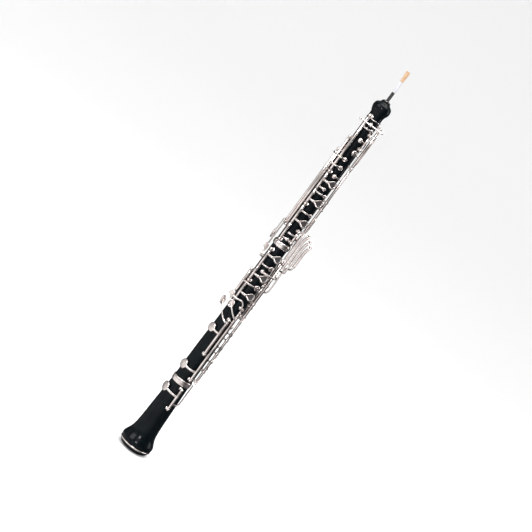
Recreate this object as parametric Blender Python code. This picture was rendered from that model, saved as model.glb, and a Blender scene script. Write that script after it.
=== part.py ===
"""Oboe with its reed: a turned blackwood body in three joints, with silver-plated keywork.

The oboe stands on its bell.  +Z runs up the bore to the reed, the finger plates face -Y, and
the origin is the middle of the bell's rim.  Sizes below are in millimetres; each mesh is
written in metres.  An angle goes round the bore from the front (-Y) towards +X.
"""
import math

import bmesh
import bpy
from mathutils import Matrix, Vector

MM = 0.001

# Overall sizes of the body
BODY_LENGTH = 601.0
BELL_RIM_RADIUS = 24.6
BELL_NECK_RADIUS = 13.9
LOWER_FOOT_RADIUS = 13.6
LOWER_HEAD_RADIUS = 11.4
TOP_FOOT_RADIUS = 10.9
TOP_HEAD_RADIUS = 10.2
BALUSTER_RADIUS = 13.3
BODY_SEGMENTS = 24

# Joints between the three pieces of wood, at the design length
DESIGN_LENGTH = 601.0
BELL_TOP = 126.0
LOWER_TOP = 364.0
MIDDLE_RING_FOOT = 355.5
TENON_LENGTH = 21.5
JOINT_GAP = 0.35
FIT_GAP = 0.3
BELL_TENON_RADIUS = 9.0
MIDDLE_TENON_RADIUS = 7.3
CORK_THICKNESS = 0.8

# Bore
BORE_TOP_RADIUS = 2.1
BORE_MIDDLE_RADIUS = 3.5
BORE_BELL_RADIUS = 7.7
BELL_MOUTH_RADIUS = 14.8
WELL_RADIUS = 3.5
WELL_DEPTH = 23.0

# Rods, posts and hinge tubes
ROD_RADIUS = 1.1
TUBE_BORE_RADIUS = 1.5
TUBE_RADIUS = 2.1
POST_BALL_RADIUS = 2.3
POST_STEM_RADIUS = 1.2
ROD_STANDOFF = 4.4
TUBE_END_GAP = 0.2
ROD_SEGMENTS = 8
BALL_TWIST = 13.0
TUBE_SEGMENTS = 10
CUP_SEGMENTS = 14
TUBE_TWIST = 4.0

# Arms, pad cups and touches
ARM_WIDTH = 2.2
ARM_THICKNESS = 1.4
CUP_FLOOR = 1.9
CUP_DEPTH = 2.2
ARM_LIFT = 3.3
CROSSING_GAP = 0.9
TONE_HOLE_SHARE = 0.5
LEVER_FACE_ANGLE = -30.0
LEVER_WIDTH = 4.4
LEVER_EAR_RADIUS = 2.5

# Reed
REED_CORK_RADIUS = 2.3
STAPLE_RADIUS = 1.2
STAPLE_BORE_RADIUS = 0.8
THREAD_RADIUS = 2.6
BLADE_WIDTH = 7.0
BLADE_LENGTH = 16.2
REED_CORK_TOP = 616.0
THREAD_TOP = 633.5

WOOD = ("blackwood", (0.012, 0.012, 0.014), 0.22, 0.0)
SILVER = ("silver_plate", (0.80, 0.77, 0.75), 0.18, 1.0)
STEEL = ("steel_rod", (0.62, 0.61, 0.60), 0.25, 1.0)
CORK = ("cork", (0.45, 0.30, 0.17), 0.85, 0.0)
CANE = ("cane", (0.66, 0.44, 0.20), 0.55, 0.0)
THREAD = ("thread", (0.86, 0.84, 0.80), 0.80, 0.0)
BLACK_CORK = ("black_cork", (0.03, 0.028, 0.026), 0.70, 0.0)

tone_holes = []


def up(height):
    """A height at the design length, moved to where it lies on a body of BODY_LENGTH."""
    return height * BODY_LENGTH / DESIGN_LENGTH


def place(angle, radius, height):
    """A point at an angle round the bore and a distance from its axis."""
    turn = math.radians(angle)
    return Vector((radius * math.sin(turn), -radius * math.cos(turn), height))


def outward(angle):
    """The direction that points away from the bore at an angle."""
    return place(angle, 1.0, 0.0)


def beside(across, front, height):
    """A point in the frame of the little-finger levers: across to the right, and forward."""
    return (outward(LEVER_FACE_ANGLE + 90.0) * across + outward(LEVER_FACE_ANGLE) * front
            + Vector((0.0, 0.0, height)))


def body_outline():
    """Radius and height along the outside of the wood, from the rim of the bell up."""
    neck = BELL_NECK_RADIUS
    rim = BELL_RIM_RADIUS
    flare = rim - neck
    return [
        (rim - 7.4, up(0.0)), (rim - 4.0, up(1.5)), (rim - 1.9, up(4.4)), (rim - 1.3, up(6.4)),
        (rim - 0.3, up(9.2)), (rim, up(13.0)), (neck + 0.80 * flare, up(19.0)),
        (neck + 0.46 * flare, up(29.0)),
        (neck + 0.26 * flare, up(50.0)), (neck + 0.18 * flare, up(70.0)),
        (neck + 0.09 * flare, up(93.0)), (neck, up(117.0)), (LOWER_FOOT_RADIUS, up(BELL_TOP)),
        (LOWER_FOOT_RADIUS - 0.4, up(180.0)), (LOWER_HEAD_RADIUS + 0.8, up(226.0)),
        (LOWER_HEAD_RADIUS, up(MIDDLE_RING_FOOT)), (TOP_FOOT_RADIUS, up(LOWER_TOP)),
        (TOP_HEAD_RADIUS, up(576.0)), (TOP_HEAD_RADIUS, up(583.0)),
        (BALUSTER_RADIUS, up(588.0)), (BALUSTER_RADIUS, up(591.0)), (8.6, up(595.5)),
        (5.8, up(599.5)), (5.4, BODY_LENGTH),
    ]


def wood_radius(height):
    """Outside radius of the wood at a height."""
    outline = body_outline()
    for (low_radius, low), (high_radius, high) in zip(outline, outline[1:]):
        if low <= height <= high:
            share = (height - low) / (high - low)
            return low_radius + share * (high_radius - low_radius)
    return outline[-1][0]


def bore_radius(height):
    """Radius of the bore at a height: a cone above the bell, and a flare inside it."""
    top = up(LOWER_TOP) - TENON_LENGTH
    bottom = up(BELL_TOP) - TENON_LENGTH
    if height > top:
        share = (height - top) / (BODY_LENGTH - WELL_DEPTH - top)
        return BORE_MIDDLE_RADIUS + share * (BORE_TOP_RADIUS - BORE_MIDDLE_RADIUS)
    share = (height - bottom) / (top - bottom)
    return BORE_BELL_RADIUS + share * (BORE_MIDDLE_RADIUS - BORE_BELL_RADIUS)


# Solids as bmesh


def lathe(profile, segments=BODY_SEGMENTS):
    """A closed profile of (radius, height) points, turned round the bore's axis."""
    mesh = bmesh.new()
    rings = []
    for step in range(segments):
        angle = 360.0 * step / segments
        rings.append([mesh.verts.new(place(angle, radius, height)) for radius, height in profile])
    count = len(profile)
    for step, ring in enumerate(rings):
        after = rings[(step + 1) % segments]
        for i in range(count):
            j = (i + 1) % count
            mesh.faces.new((ring[i], ring[j], after[j], after[i]))
    bmesh.ops.recalc_face_normals(mesh, faces=mesh.faces)
    return mesh


def rod_between(start, end, radius, segments=ROD_SEGMENTS, end_radius=None, spin=0.0):
    """A straight round bar, or a cone if the end has its own radius."""
    mesh = bmesh.new()
    along = end - start
    turn = along.to_track_quat("Z", "Y").to_matrix().to_4x4()
    turn = turn @ Matrix.Rotation(math.radians(spin), 4, "Z")
    matrix = Matrix.Translation((start + end) / 2) @ turn
    bmesh.ops.create_cone(mesh, cap_ends=True, segments=segments, radius1=radius,
                          radius2=end_radius or radius, depth=along.length, matrix=matrix)
    return mesh


def ball(centre, radius, spin=0.0):
    """A small ball, as on the head of a post."""
    mesh = bmesh.new()
    turn = Matrix.Rotation(math.radians(spin + BALL_TWIST), 4, "Z")
    bmesh.ops.create_uvsphere(mesh, u_segments=8, v_segments=4, radius=radius,
                              matrix=Matrix.Translation(centre) @ turn)
    return mesh


def bar(points, facings, width=ARM_WIDTH, thickness=ARM_THICKNESS):
    """A flat bar that runs through points; its broad face looks along the facings."""
    mesh = bmesh.new()
    rings = []
    for i, point in enumerate(points):
        along = points[min(i + 1, len(points) - 1)] - points[max(i - 1, 0)]
        facing = facings[i].normalized()
        side = along.cross(facing).normalized() * width / 2
        depth = facing * thickness / 2
        corners = (side + depth, depth - side, -side - depth, side - depth)
        rings.append([mesh.verts.new(point + corner) for corner in corners])
    for ring, after in zip(rings, rings[1:]):
        for i in range(4):
            j = (i + 1) % 4
            mesh.faces.new((ring[i], ring[j], after[j], after[i]))
    mesh.faces.new(rings[0])
    mesh.faces.new(rings[-1])
    bmesh.ops.recalc_face_normals(mesh, faces=mesh.faces)
    return mesh


def arc_arm(stops, width=ARM_WIDTH, thickness=ARM_THICKNESS):
    """An arm that bends round the body through stops of (angle, radius, height)."""
    points = []
    facings = []
    for (a0, r0, h0), (a1, r1, h1) in zip(stops, stops[1:]):
        steps = max(1, round(abs(a1 - a0) / 16.0))
        for step in range(steps):
            share = step / steps
            angle = a0 + share * (a1 - a0)
            points.append(place(angle, r0 + share * (r1 - r0), h0 + share * (h1 - h0)))
            facings.append(outward(angle))
    points.append(place(*stops[-1]))
    facings.append(outward(stops[-1][0]))
    return bar(points, facings, width, thickness)


def cup(angle, height, radius):
    """A round cup or finger plate over a tone hole, standing clear of the wood for its pad."""
    base = wood_radius(up(height)) + CUP_FLOOR
    tone_holes.append((angle, up(height), radius * TONE_HOLE_SHARE))
    return rod_between(place(angle, base, up(height)),
                       place(angle, base + CUP_DEPTH, up(height)),
                       radius, segments=CUP_SEGMENTS, end_radius=radius * 0.9)


# Objects


def make_material(look):
    """The Principled material of a look, made once and then shared."""
    name, colour, roughness, metallic = look
    material = bpy.data.materials.get(name)
    if material is None:
        material = bpy.data.materials.new(name)
        material.use_nodes = True
        shader = material.node_tree.nodes["Principled BSDF"]
        shader.inputs["Base Color"].default_value = (*colour, 1.0)
        shader.inputs["Roughness"].default_value = roughness
        shader.inputs["Metallic"].default_value = metallic
        material.diffuse_color = (*colour, 1.0)
    return material


def add_object(name, mesh, origin):
    """An object in the scene from a bmesh in millimetres, with its origin at a point."""
    mesh.transform(Matrix.Scale(MM, 4) @ Matrix.Translation(-origin))
    data = bpy.data.meshes.new(name)
    mesh.to_mesh(data)
    mesh.free()
    thing = bpy.data.objects.new(name, data)
    thing.location = origin * MM
    bpy.context.collection.objects.link(thing)
    return thing


def boolean(thing, others, operation):
    """Join other objects to this one, or cut them from it, and then remove them."""
    for other in others:
        step = thing.modifiers.new(other.name, "BOOLEAN")
        step.operation = operation
        step.solver = "MANIFOLD"
        step.object = other
    bpy.context.view_layer.update()
    graph = bpy.context.evaluated_depsgraph_get()
    shaped = bpy.data.meshes.new_from_object(thing.evaluated_get(graph))
    thing.modifiers.clear()
    thing.data = shaped
    for other in others:
        bpy.data.objects.remove(other)


def fuse(name, solids, look, origin=None, cutters=()):
    """One closed body from overlapping solids, with the cutters taken out of it."""
    origin = origin or Vector((0.0, 0.0, 0.0))
    thing = add_object(name, solids[0], origin)
    pieces = [add_object(f"{name}_piece", solid, origin) for solid in solids[1:]]
    if pieces:
        boolean(thing, pieces, "UNION")
    holes = [add_object(f"{name}_cutter", cutter, origin) for cutter in cutters]
    if holes:
        boolean(thing, holes, "DIFFERENCE")
    thing.data.name = name
    thing.data.materials.clear()
    thing.data.materials.append(make_material(look))
    thing.data.shade_smooth()
    thing.data.set_sharp_from_angle(angle=math.radians(35.0))
    return thing


# Rods and keys


class Rod:
    """A steel rod held on posts beside the body, which the keys' tubes turn on."""

    def __init__(self, name, angle, posts):
        self.name = name
        self.angle = angle
        self.posts = posts
        self.radius = max(wood_radius(up(height)) for height in posts) + ROD_STANDOFF

    def at(self, height, extra=0.0):
        """A point beside the body on the rod's line, at a design height."""
        return place(self.angle, self.radius + extra, up(height))

    def build(self):
        """The rod with its posts: a stem that ends just off the wood, and a ball on top."""
        solids = [rod_between(self.at(self.posts[0]), self.at(self.posts[-1]), ROD_RADIUS,
                              spin=self.angle)]
        for height in self.posts:
            foot = place(self.angle, wood_radius(up(height)) + FIT_GAP, up(height))
            solids.append(rod_between(foot, self.at(height, -0.3), POST_STEM_RADIUS, segments=6))
            solids.append(ball(self.at(height), POST_BALL_RADIUS, self.angle))
        fuse(self.name, solids, STEEL)


def tube_ends(rod, low, high):
    """Where a tube ends: clear of a post, or a hair short of the next tube."""
    clear = POST_BALL_RADIUS + FIT_GAP
    bottom = up(low) + (clear if low in rod.posts else TUBE_END_GAP)
    top = up(high) - (clear if high in rod.posts else TUBE_END_GAP)
    return bottom, top


def key(name, rod, low, high, solids):
    """A key: a tube on its rod, fused with its arms, cups and touches, and bored through."""
    bottom, top = tube_ends(rod, low, high)
    axis_low = place(rod.angle, rod.radius, bottom)
    axis_high = place(rod.angle, rod.radius, top)
    tube = rod_between(axis_low, axis_high, TUBE_RADIUS, segments=TUBE_SEGMENTS,
                       spin=rod.angle + TUBE_TWIST)
    beyond = Vector((0.0, 0.0, 1.0))
    bore = rod_between(axis_low - beyond, axis_high + beyond, TUBE_BORE_RADIUS,
                       segments=TUBE_SEGMENTS, spin=rod.angle + TUBE_TWIST)
    return fuse(name, [tube] + solids, SILVER, axis_low, [bore])


def short_arm(rod, from_height, angle, height, width=ARM_WIDTH):
    """An arm from a rod's tube round to the top of a cup."""
    lift = wood_radius(up(height)) + ARM_LIFT
    side = math.copysign(6.0, angle - rod.angle)
    return arc_arm([(rod.angle, rod.radius, up(from_height)),
                    (rod.angle + side, max(lift, rod.radius - 0.8), up(from_height)),
                    (angle, lift, up(height))], width)


def over_arm(rod, from_height, crossed_angle, angle, height, lift=0.0, width=ARM_WIDTH):
    """An arm that rises over the neighbouring tubes before it comes down on its cup."""
    over = rod.radius + TUBE_RADIUS + CROSSING_GAP + ARM_THICKNESS / 2 + lift
    side = math.copysign(9.0, angle - rod.angle)
    down = wood_radius(up(height)) + ARM_LIFT
    return arc_arm([(rod.angle, rod.radius, up(from_height)),
                    (rod.angle + side, over, up(from_height)),
                    (crossed_angle + 1.5 * side, over, up(height)),
                    (angle, down, up(height))], width)


def touch_pad(angle, radius, height, size, length):
    """A flat oval touch that lies over the body, longer along the bore than across it."""
    low = place(angle, radius, up(height) - length / 2)
    high = place(angle, radius, up(height) + length / 2)
    middle = place(angle, radius, up(height))
    facing = outward(angle)
    stem = bar([low, middle, high], [facing] * 3, size * 1.3, ARM_THICKNESS)
    oval = rod_between(middle - facing * 0.8, middle + facing * 0.8, size,
                       segments=CUP_SEGMENTS)
    return [stem, oval]


def lever_plate(across, front, low, high, lean=0.0):
    """A long flat lever for the left little finger, whose head leans out to a round ear."""
    facing = outward(LEVER_FACE_ANGLE)
    bend = up(high) - 12.0
    ear = beside(across + lean, front, up(high))
    points = [beside(across, front, up(low)), beside(across, front, bend),
              beside(across + 0.3 * lean, front, bend + 6.0), ear]
    return [bar(points, [facing] * 4, LEVER_WIDTH, 1.8),
            rod_between(ear - facing * 0.8, ear + facing * 0.8, LEVER_EAR_RADIUS,
                        segments=CUP_SEGMENTS)]


def lever_stalk(rod, start, across, front, high):
    """The stalk that carries a little-finger lever from its tube out to its plate."""
    facing = outward(LEVER_FACE_ANGLE)
    knee = beside(across, front, up(start) + 2.0)
    out = bar([rod.at(start), knee], [facing] * 2, 2.4, 2.0)
    rise = bar([knee - Vector((0.0, 0.0, 1.2)), beside(across, front, up(high))],
               [facing] * 2, 2.6, 1.3)
    return [out, rise]


RODS = {rod.name: rod for rod in (
    Rod("upper_left_rod", -59.0, (367.5, 427.0, 482.0, 574.0)),
    Rod("upper_right_rod", 54.0, (367.5, 389.0, 500.0, 566.0)),
    Rod("upper_front_rod", 14.0, (528.0, 551.0)),
    Rod("long_trill_rod", -84.0, (388.0, 535.0)),
    Rod("short_trill_rod", -109.0, (388.0, 512.0)),
    Rod("thumb_key_rod", 152.0, (478.0, 545.0)),
    Rod("bridge_rod", 7.0, (371.0, 389.0)),
    Rod("lower_left_rod", -60.0, (256.0, 296.0, 349.0)),
    Rod("lower_left_outer_rod", -87.0, (264.0, 310.0)),
    Rod("front_left_rod", -19.0, (174.5, 234.0)),
    Rod("front_rod", 2.0, (132.0, 256.0)),
    Rod("lower_right_rod", 46.0, (132.0, 340.0)),
    Rod("lower_right_outer_rod", 69.0, (150.0, 340.0)),
    Rod("lower_right_back_rod", 93.0, (240.0, 296.0, 340.0)),
    Rod("bell_rod", -5.0, (80.5, 114.0)),
)}


def make_rods():
    """Every steel rod with its posts, and the stay across the top of the upper joint."""
    for rod in RODS.values():
        rod.build()
    stay_height = up(564.0)
    front = wood_radius(stay_height) + 6.9
    left = beside(-15.0, front, stay_height)
    right = beside(20.0, front, stay_height)
    stem_angle = LEVER_FACE_ANGLE + 7.0
    foot = place(stem_angle, wood_radius(stay_height) + FIT_GAP, stay_height)
    head = place(stem_angle, front, stay_height)
    fuse("upper_stay", [rod_between(left, right, 1.0), ball(left, 1.8), ball(right, 1.8),
                        rod_between(foot, head, POST_STEM_RADIUS, segments=6)], STEEL)


def make_octave_and_trill_keys():
    """The small closed keys near the top of the instrument."""
    rod = RODS["upper_front_rod"]
    key("third_octave_key", rod, 528.0, 551.0,
        [short_arm(rod, 539.0, -19.0, 539.0), cup(-19.0, 539.0, 3.4)])

    rod = RODS["upper_left_rod"]
    key("top_vent_key", rod, 482.0, 574.0,
        [short_arm(rod, 557.0, 3.0, 557.0), cup(3.0, 557.0, 2.8)])

    rod = RODS["upper_right_rod"]
    plate = bar([rod.at(508.0, 2.1), rod.at(558.0, 2.1)], [outward(rod.angle)] * 2, 5.6, 1.4)
    key("upper_side_key", rod, 500.0, 566.0,
        [plate, short_arm(rod, 518.0, 0.0, 520.0), cup(0.0, 520.0, 4.2)])
    lever = bar([rod.at(392.5, 2.1), rod.at(418.0, 2.1)], [outward(rod.angle)] * 2, 6.0, 1.4)
    key("second_octave_key", rod, 389.0, 500.0,
        [lever, short_arm(rod, 480.0, -18.0, 479.0), cup(-18.0, 479.0, 3.2)])

    rod = RODS["long_trill_rod"]
    key("long_trill_key", rod, 388.0, 535.0,
        [over_arm(rod, 493.0, -59.0, -18.0, 493.0), cup(-18.0, 493.0, 3.4)]
        + trill_touch(rod, 394.0, -88.0, 346.0))
    rod = RODS["short_trill_rod"]
    key("short_trill_key", rod, 388.0, 512.0,
        [over_arm(rod, 506.0, -59.0, -27.0, 506.0), cup(-27.0, 506.0, 3.2)]
        + trill_touch(rod, 394.0, -116.0, 366.0))

    rod = RODS["thumb_key_rod"]
    key("first_octave_key", rod, 478.0, 545.0,
        [short_arm(rod, 530.0, 112.0, 530.0), cup(112.0, 530.0, 3.2),
         short_arm(rod, 492.0, 186.0, 492.0, width=12.0)])


def trill_touch(rod, start, angle, height):
    """The lever that runs down past the middle joint to a right-hand trill touch."""
    radius = rod.radius + 4.0
    lever = arc_arm([(rod.angle, rod.radius + 1.2, up(start)),
                     (rod.angle, radius, up(start) - 3.0),
                     (angle, radius, up(height))])
    return [lever] + touch_pad(angle, radius, height, 3.6, 14.0)


def plate_key(name, rod_name, low, high, plate_height, vent=None):
    """A left-hinged key with a finger plate over one hole and a small cup over another."""
    rod = RODS[rod_name]
    solids = [short_arm(rod, plate_height, 5.0, plate_height), cup(5.0, plate_height, 6.2)]
    if vent:
        angle, height, radius = vent
        solids += [short_arm(rod, height, angle, height), cup(angle, height, radius)]
    key(name, rod, low, high, solids)


def make_left_hand_keys():
    """The finger plates of the left hand, with the small vents that move with them."""
    plate_key("half_hole_key", "upper_left_rod", 453.0, 482.0, 468.0, (-22.0, 457.0, 2.6))
    plate_key("a_key", "upper_left_rod", 427.0, 453.0, 436.0, (10.0, 449.0, 2.8))
    plate_key("g_key", "upper_left_rod", 395.0, 427.0, 402.0, (10.0, 416.0, 2.8))

    rod = RODS["upper_left_rod"]
    key("low_vent_key", rod, 367.5, 395.0,
        [short_arm(rod, 372.0, -22.0, 372.0), cup(-22.0, 372.0, 2.6)])
    rod = RODS["bridge_rod"]
    key("bridge_key", rod, 371.0, 389.0, [short_arm(rod, 381.0, -42.0, 381.0)])

    rod = RODS["upper_right_rod"]
    key("g_sharp_key", rod, 367.5, 389.0,
        [short_arm(rod, 378.0, 30.0, 378.0), cup(30.0, 378.0, 2.9),
         bar([rod.at(376.0), beside(15.9, 8.6, up(376.0))],
             [outward(LEVER_FACE_ANGLE)] * 2, 3.0, 2.0)]
        + lever_plate(15.9, 8.6, 346.0, 388.0))


def make_right_hand_keys():
    """The finger plates of the right hand and the keys that lie beside them."""
    plate_key("f_sharp_key", "lower_left_rod", 320.5, 349.0, 341.0, (7.0, 325.0, 3.8))
    plate_key("e_key", "lower_left_rod", 296.0, 320.5, 308.0)
    plate_key("d_key", "lower_left_rod", 256.0, 296.0, 276.5)

    rod = RODS["lower_left_outer_rod"]
    key("forked_f_key", rod, 264.0, 310.0,
        [over_arm(rod, 291.0, -60.0, 6.0, 292.0), cup(6.0, 292.0, 4.2)])


def make_low_keys():
    """The large low keys and the right little finger's touches."""
    rod = RODS["front_left_rod"]
    key("c_key", rod, 174.5, 234.0,
        [short_arm(rod, 210.0, -75.0, 211.0, width=3.0), cup(-75.0, 211.0, 6.8)]
        + little_finger_touch(rod, 228.0, -97.0, 251.0, 5.2, 232.0))

    rod = RODS["front_rod"]
    key("c_sharp_key", rod, 191.0, 240.0,
        [short_arm(rod, 226.0, 24.0, 226.0), cup(24.0, 226.0, 3.2)]
        + little_finger_touch(rod, 238.0, -52.0, 256.0, 4.2, 244.0))
    key("e_flat_key", rod, 240.0, 256.0,
        [short_arm(rod, 245.5, 24.0, 245.5), cup(24.0, 245.5, 3.2)]
        + little_finger_touch(rod, 252.5, -74.0, 266.0, 4.6, 266.5))
    key("low_b_key", rod, 132.0, 191.0,
        [short_arm(rod, 145.0, -79.0, 145.5, width=3.0), cup(-79.0, 145.5, 7.2)])

    rod = RODS["bell_rod"]
    link = [place(rod.angle, rod.radius, up(90.0)), place(18.0, rod.radius, up(90.0)),
            place(24.0, rod.radius + 0.8, up(96.0)), place(24.0, rod.radius + 0.8, up(128.0))]
    key("low_b_flat_key", rod, 80.5, 114.0,
        [short_arm(rod, 102.0, -86.0, 104.0, width=3.0), cup(-86.0, 104.0, 7.4),
         bar(link, [outward(18.0)] * 4, 2.2, 1.4)])


def little_finger_touch(rod, start, angle, height, size, shoulder):
    """An arm from a front rod, up to its shoulder and over to the little finger's touch."""
    radius = rod.radius + 4.4
    arm = arc_arm([(rod.angle, rod.radius + 1.0, up(start)),
                   (rod.angle - 5.0, radius, up(start + 1.2)),
                   (rod.angle - 22.0, radius, up(shoulder)),
                   (angle, radius, up(height))], width=2.0)
    return [arm] + touch_pad(angle, radius, height, size, size * 2.6)


def make_little_finger_levers():
    """The levers that the left little finger reaches, on the rods at the right side."""
    rod = RODS["lower_right_rod"]
    key("b_flat_lever", rod, 132.0, 340.0,
        lever_stalk(rod, 333.0, 20.9, 6.6, 345.0) + lever_plate(20.9, 6.6, 343.0, 391.0, 2.4))
    rod = RODS["lower_right_outer_rod"]
    key("b_lever", rod, 150.0, 340.0,
        lever_stalk(rod, 328.0, 26.0, 4.6, 345.0) + lever_plate(26.0, 4.6, 343.0, 385.0, 3.0))
    rod = RODS["lower_right_back_rod"]
    path = [rod.at(290.0), beside(23.4, -7.5, up(293.0)), beside(23.4, -7.5, up(333.0)),
            beside(27.5, -3.0, up(336.5)), beside(30.8, 1.6, up(340.0)),
            beside(31.4, 2.6, up(346.0))]
    key("e_flat_lever", rod, 240.0, 296.0,
        [bar(path, [outward(78.0)] * 4 + [outward(LEVER_FACE_ANGLE)] * 2, 2.4, 1.6)]
        + lever_plate(31.4, 2.6, 344.0, 379.0, 2.6))
    key("left_f_key", rod, 296.0, 340.0,
        [over_arm(rod, 316.0, 46.0, -28.0, 316.0, lift=1.5), cup(-28.0, 316.0, 2.8)])


# Body


def tone_hole_cutters(low, high):
    """The tone holes that belong to the wood between two heights."""
    cutters = []
    for angle, height, radius in tone_holes:
        if low < height < high:
            end = place(angle, wood_radius(height) + 2.0, height)
            cutters.append(rod_between(place(angle, 0.0, height), end, radius, segments=10))
    return cutters


def outline_between(low, high):
    """The points of the outline that lie strictly between two heights."""
    return [(radius, height) for radius, height in body_outline() if low < height < high]


def make_top_joint():
    """The upper piece of wood, from its tenon to the lip that holds the reed."""
    shoulder = up(LOWER_TOP) + JOINT_GAP
    foot = up(LOWER_TOP) - TENON_LENGTH
    well_floor = BODY_LENGTH - WELL_DEPTH
    profile = [(WELL_RADIUS, BODY_LENGTH)] + outline_between(shoulder, BODY_LENGTH)[::-1]
    profile.insert(1, (5.4, BODY_LENGTH))
    profile += [(TOP_FOOT_RADIUS, shoulder), (MIDDLE_TENON_RADIUS, shoulder),
                (MIDDLE_TENON_RADIUS, foot), (bore_radius(foot + 0.1), foot),
                (BORE_TOP_RADIUS, well_floor), (WELL_RADIUS, well_floor)]
    fuse("top_joint", [lathe(profile)], WOOD, cutters=tone_hole_cutters(shoulder, BODY_LENGTH))


def make_lower_joint():
    """The lower piece of wood, with a socket at its head and a tenon at its foot."""
    head = up(LOWER_TOP)
    shoulder = up(BELL_TOP) + JOINT_GAP
    foot = up(BELL_TOP) - TENON_LENGTH
    floor = head - TENON_LENGTH - 1.0
    socket = MIDDLE_TENON_RADIUS + CORK_THICKNESS + 2 * FIT_GAP
    ring_floor = up(MIDDLE_RING_FOOT)
    profile = [(socket, head), (socket + 2.0, head), (socket + 2.0, ring_floor)]
    profile += outline_between(shoulder, ring_floor + 0.5)[::-1]
    profile += [(LOWER_FOOT_RADIUS, shoulder), (BELL_TENON_RADIUS, shoulder),
                (BELL_TENON_RADIUS, foot), (BORE_BELL_RADIUS, foot),
                (bore_radius(floor), floor), (socket, floor)]
    fuse("lower_joint", [lathe(profile)], WOOD, cutters=tone_hole_cutters(shoulder, ring_floor))


def make_bell():
    """The bell, with a socket at its neck, a step for the rim ring and an open mouth."""
    head = up(BELL_TOP)
    floor = head - TENON_LENGTH - 1.0
    socket = BELL_TENON_RADIUS + CORK_THICKNESS + 2 * FIT_GAP
    ring_floor = up(117.0)
    rim_groove = BELL_RIM_RADIUS - 2.4
    profile = [(socket, head), (socket + 1.8, head), (socket + 1.8, ring_floor)]
    profile += outline_between(up(8.0), ring_floor + 0.5)[::-1]
    profile += [(rim_groove, up(9.2) - 0.2), (rim_groove, up(6.4))]
    profile += outline_between(-1.0, up(7.0))[::-1]
    profile += [(BELL_MOUTH_RADIUS, up(0.0)), (BELL_MOUTH_RADIUS - 0.6, up(3.0)),
                (12.9, up(22.0)), (10.8, up(55.0)), (BORE_BELL_RADIUS + 0.5, floor),
                (socket, floor)]
    fuse("bell", [lathe(profile)], WOOD, cutters=tone_hole_cutters(up(8.0), ring_floor))


def make_ring(name, inner, outer, low, high):
    """A silver ring round the body, rounded on the outside."""
    profile = [(inner, high), (outer - 0.5, high), (outer, (low + high) / 2),
               (outer - 0.5, low), (inner, low)]
    fuse(name, [lathe(profile)], SILVER)


def make_rings_and_corks():
    """The silver rings that strengthen the sockets, and the corks round the tenons."""
    socket = MIDDLE_TENON_RADIUS + CORK_THICKNESS + 2 * FIT_GAP
    make_ring("middle_socket_ring", socket + 2.0 + FIT_GAP, LOWER_HEAD_RADIUS + 1.8,
              up(MIDDLE_RING_FOOT) + FIT_GAP, up(LOWER_TOP))
    socket = BELL_TENON_RADIUS + CORK_THICKNESS + 2 * FIT_GAP
    make_ring("bell_socket_ring", socket + 1.8 + FIT_GAP, BELL_NECK_RADIUS + 1.0,
              up(117.0) + FIT_GAP, up(BELL_TOP))
    make_ring("bell_rim_ring", BELL_RIM_RADIUS - 2.3, BELL_RIM_RADIUS - 0.3,
              up(6.4) + FIT_GAP, up(9.2) - 0.2 - FIT_GAP)
    head = wood_radius(up(571.0)) + FIT_GAP
    make_ring("top_ring", head, head + 0.7, up(571.0) - 0.6, up(571.0) + 0.6)
    for name, core, joint in (("middle_tenon_cork", MIDDLE_TENON_RADIUS, LOWER_TOP),
                              ("bell_tenon_cork", BELL_TENON_RADIUS, BELL_TOP)):
        low = up(joint) - TENON_LENGTH + 2.0
        high = up(joint) - 3.0
        inner = core + FIT_GAP
        outer = core + CORK_THICKNESS + FIT_GAP / 2
        fuse(name, [lathe([(inner, high), (outer, high), (outer, low), (inner, low)])], CORK)


def make_thumb_rest():
    """The curved plate on the back of the lower joint, with the hook for the thumb."""
    middle = up(331.0)
    radius = wood_radius(middle) + 1.2
    back = outward(180.0)
    plate = arc_arm([(156.0, radius, middle), (204.0, radius, middle)], width=24.0,
                    thickness=1.2)
    hook_end = place(180.0, 25.0, middle - 3.0)
    hook = bar([place(180.0, radius, middle - 3.0), hook_end],
               [Vector((0.0, 0.0, 1.0))] * 2, 13.0, 2.4)
    turned_up = bar([hook_end - back * 1.0 - Vector((0.0, 0.0, 1.0)),
                     hook_end - back * 1.0 + Vector((0.0, 0.0, 3.4))], [back] * 2, 12.6, 1.6)
    fuse("thumb_rest", [plate, hook, turned_up], SILVER)


# Reed


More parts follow.
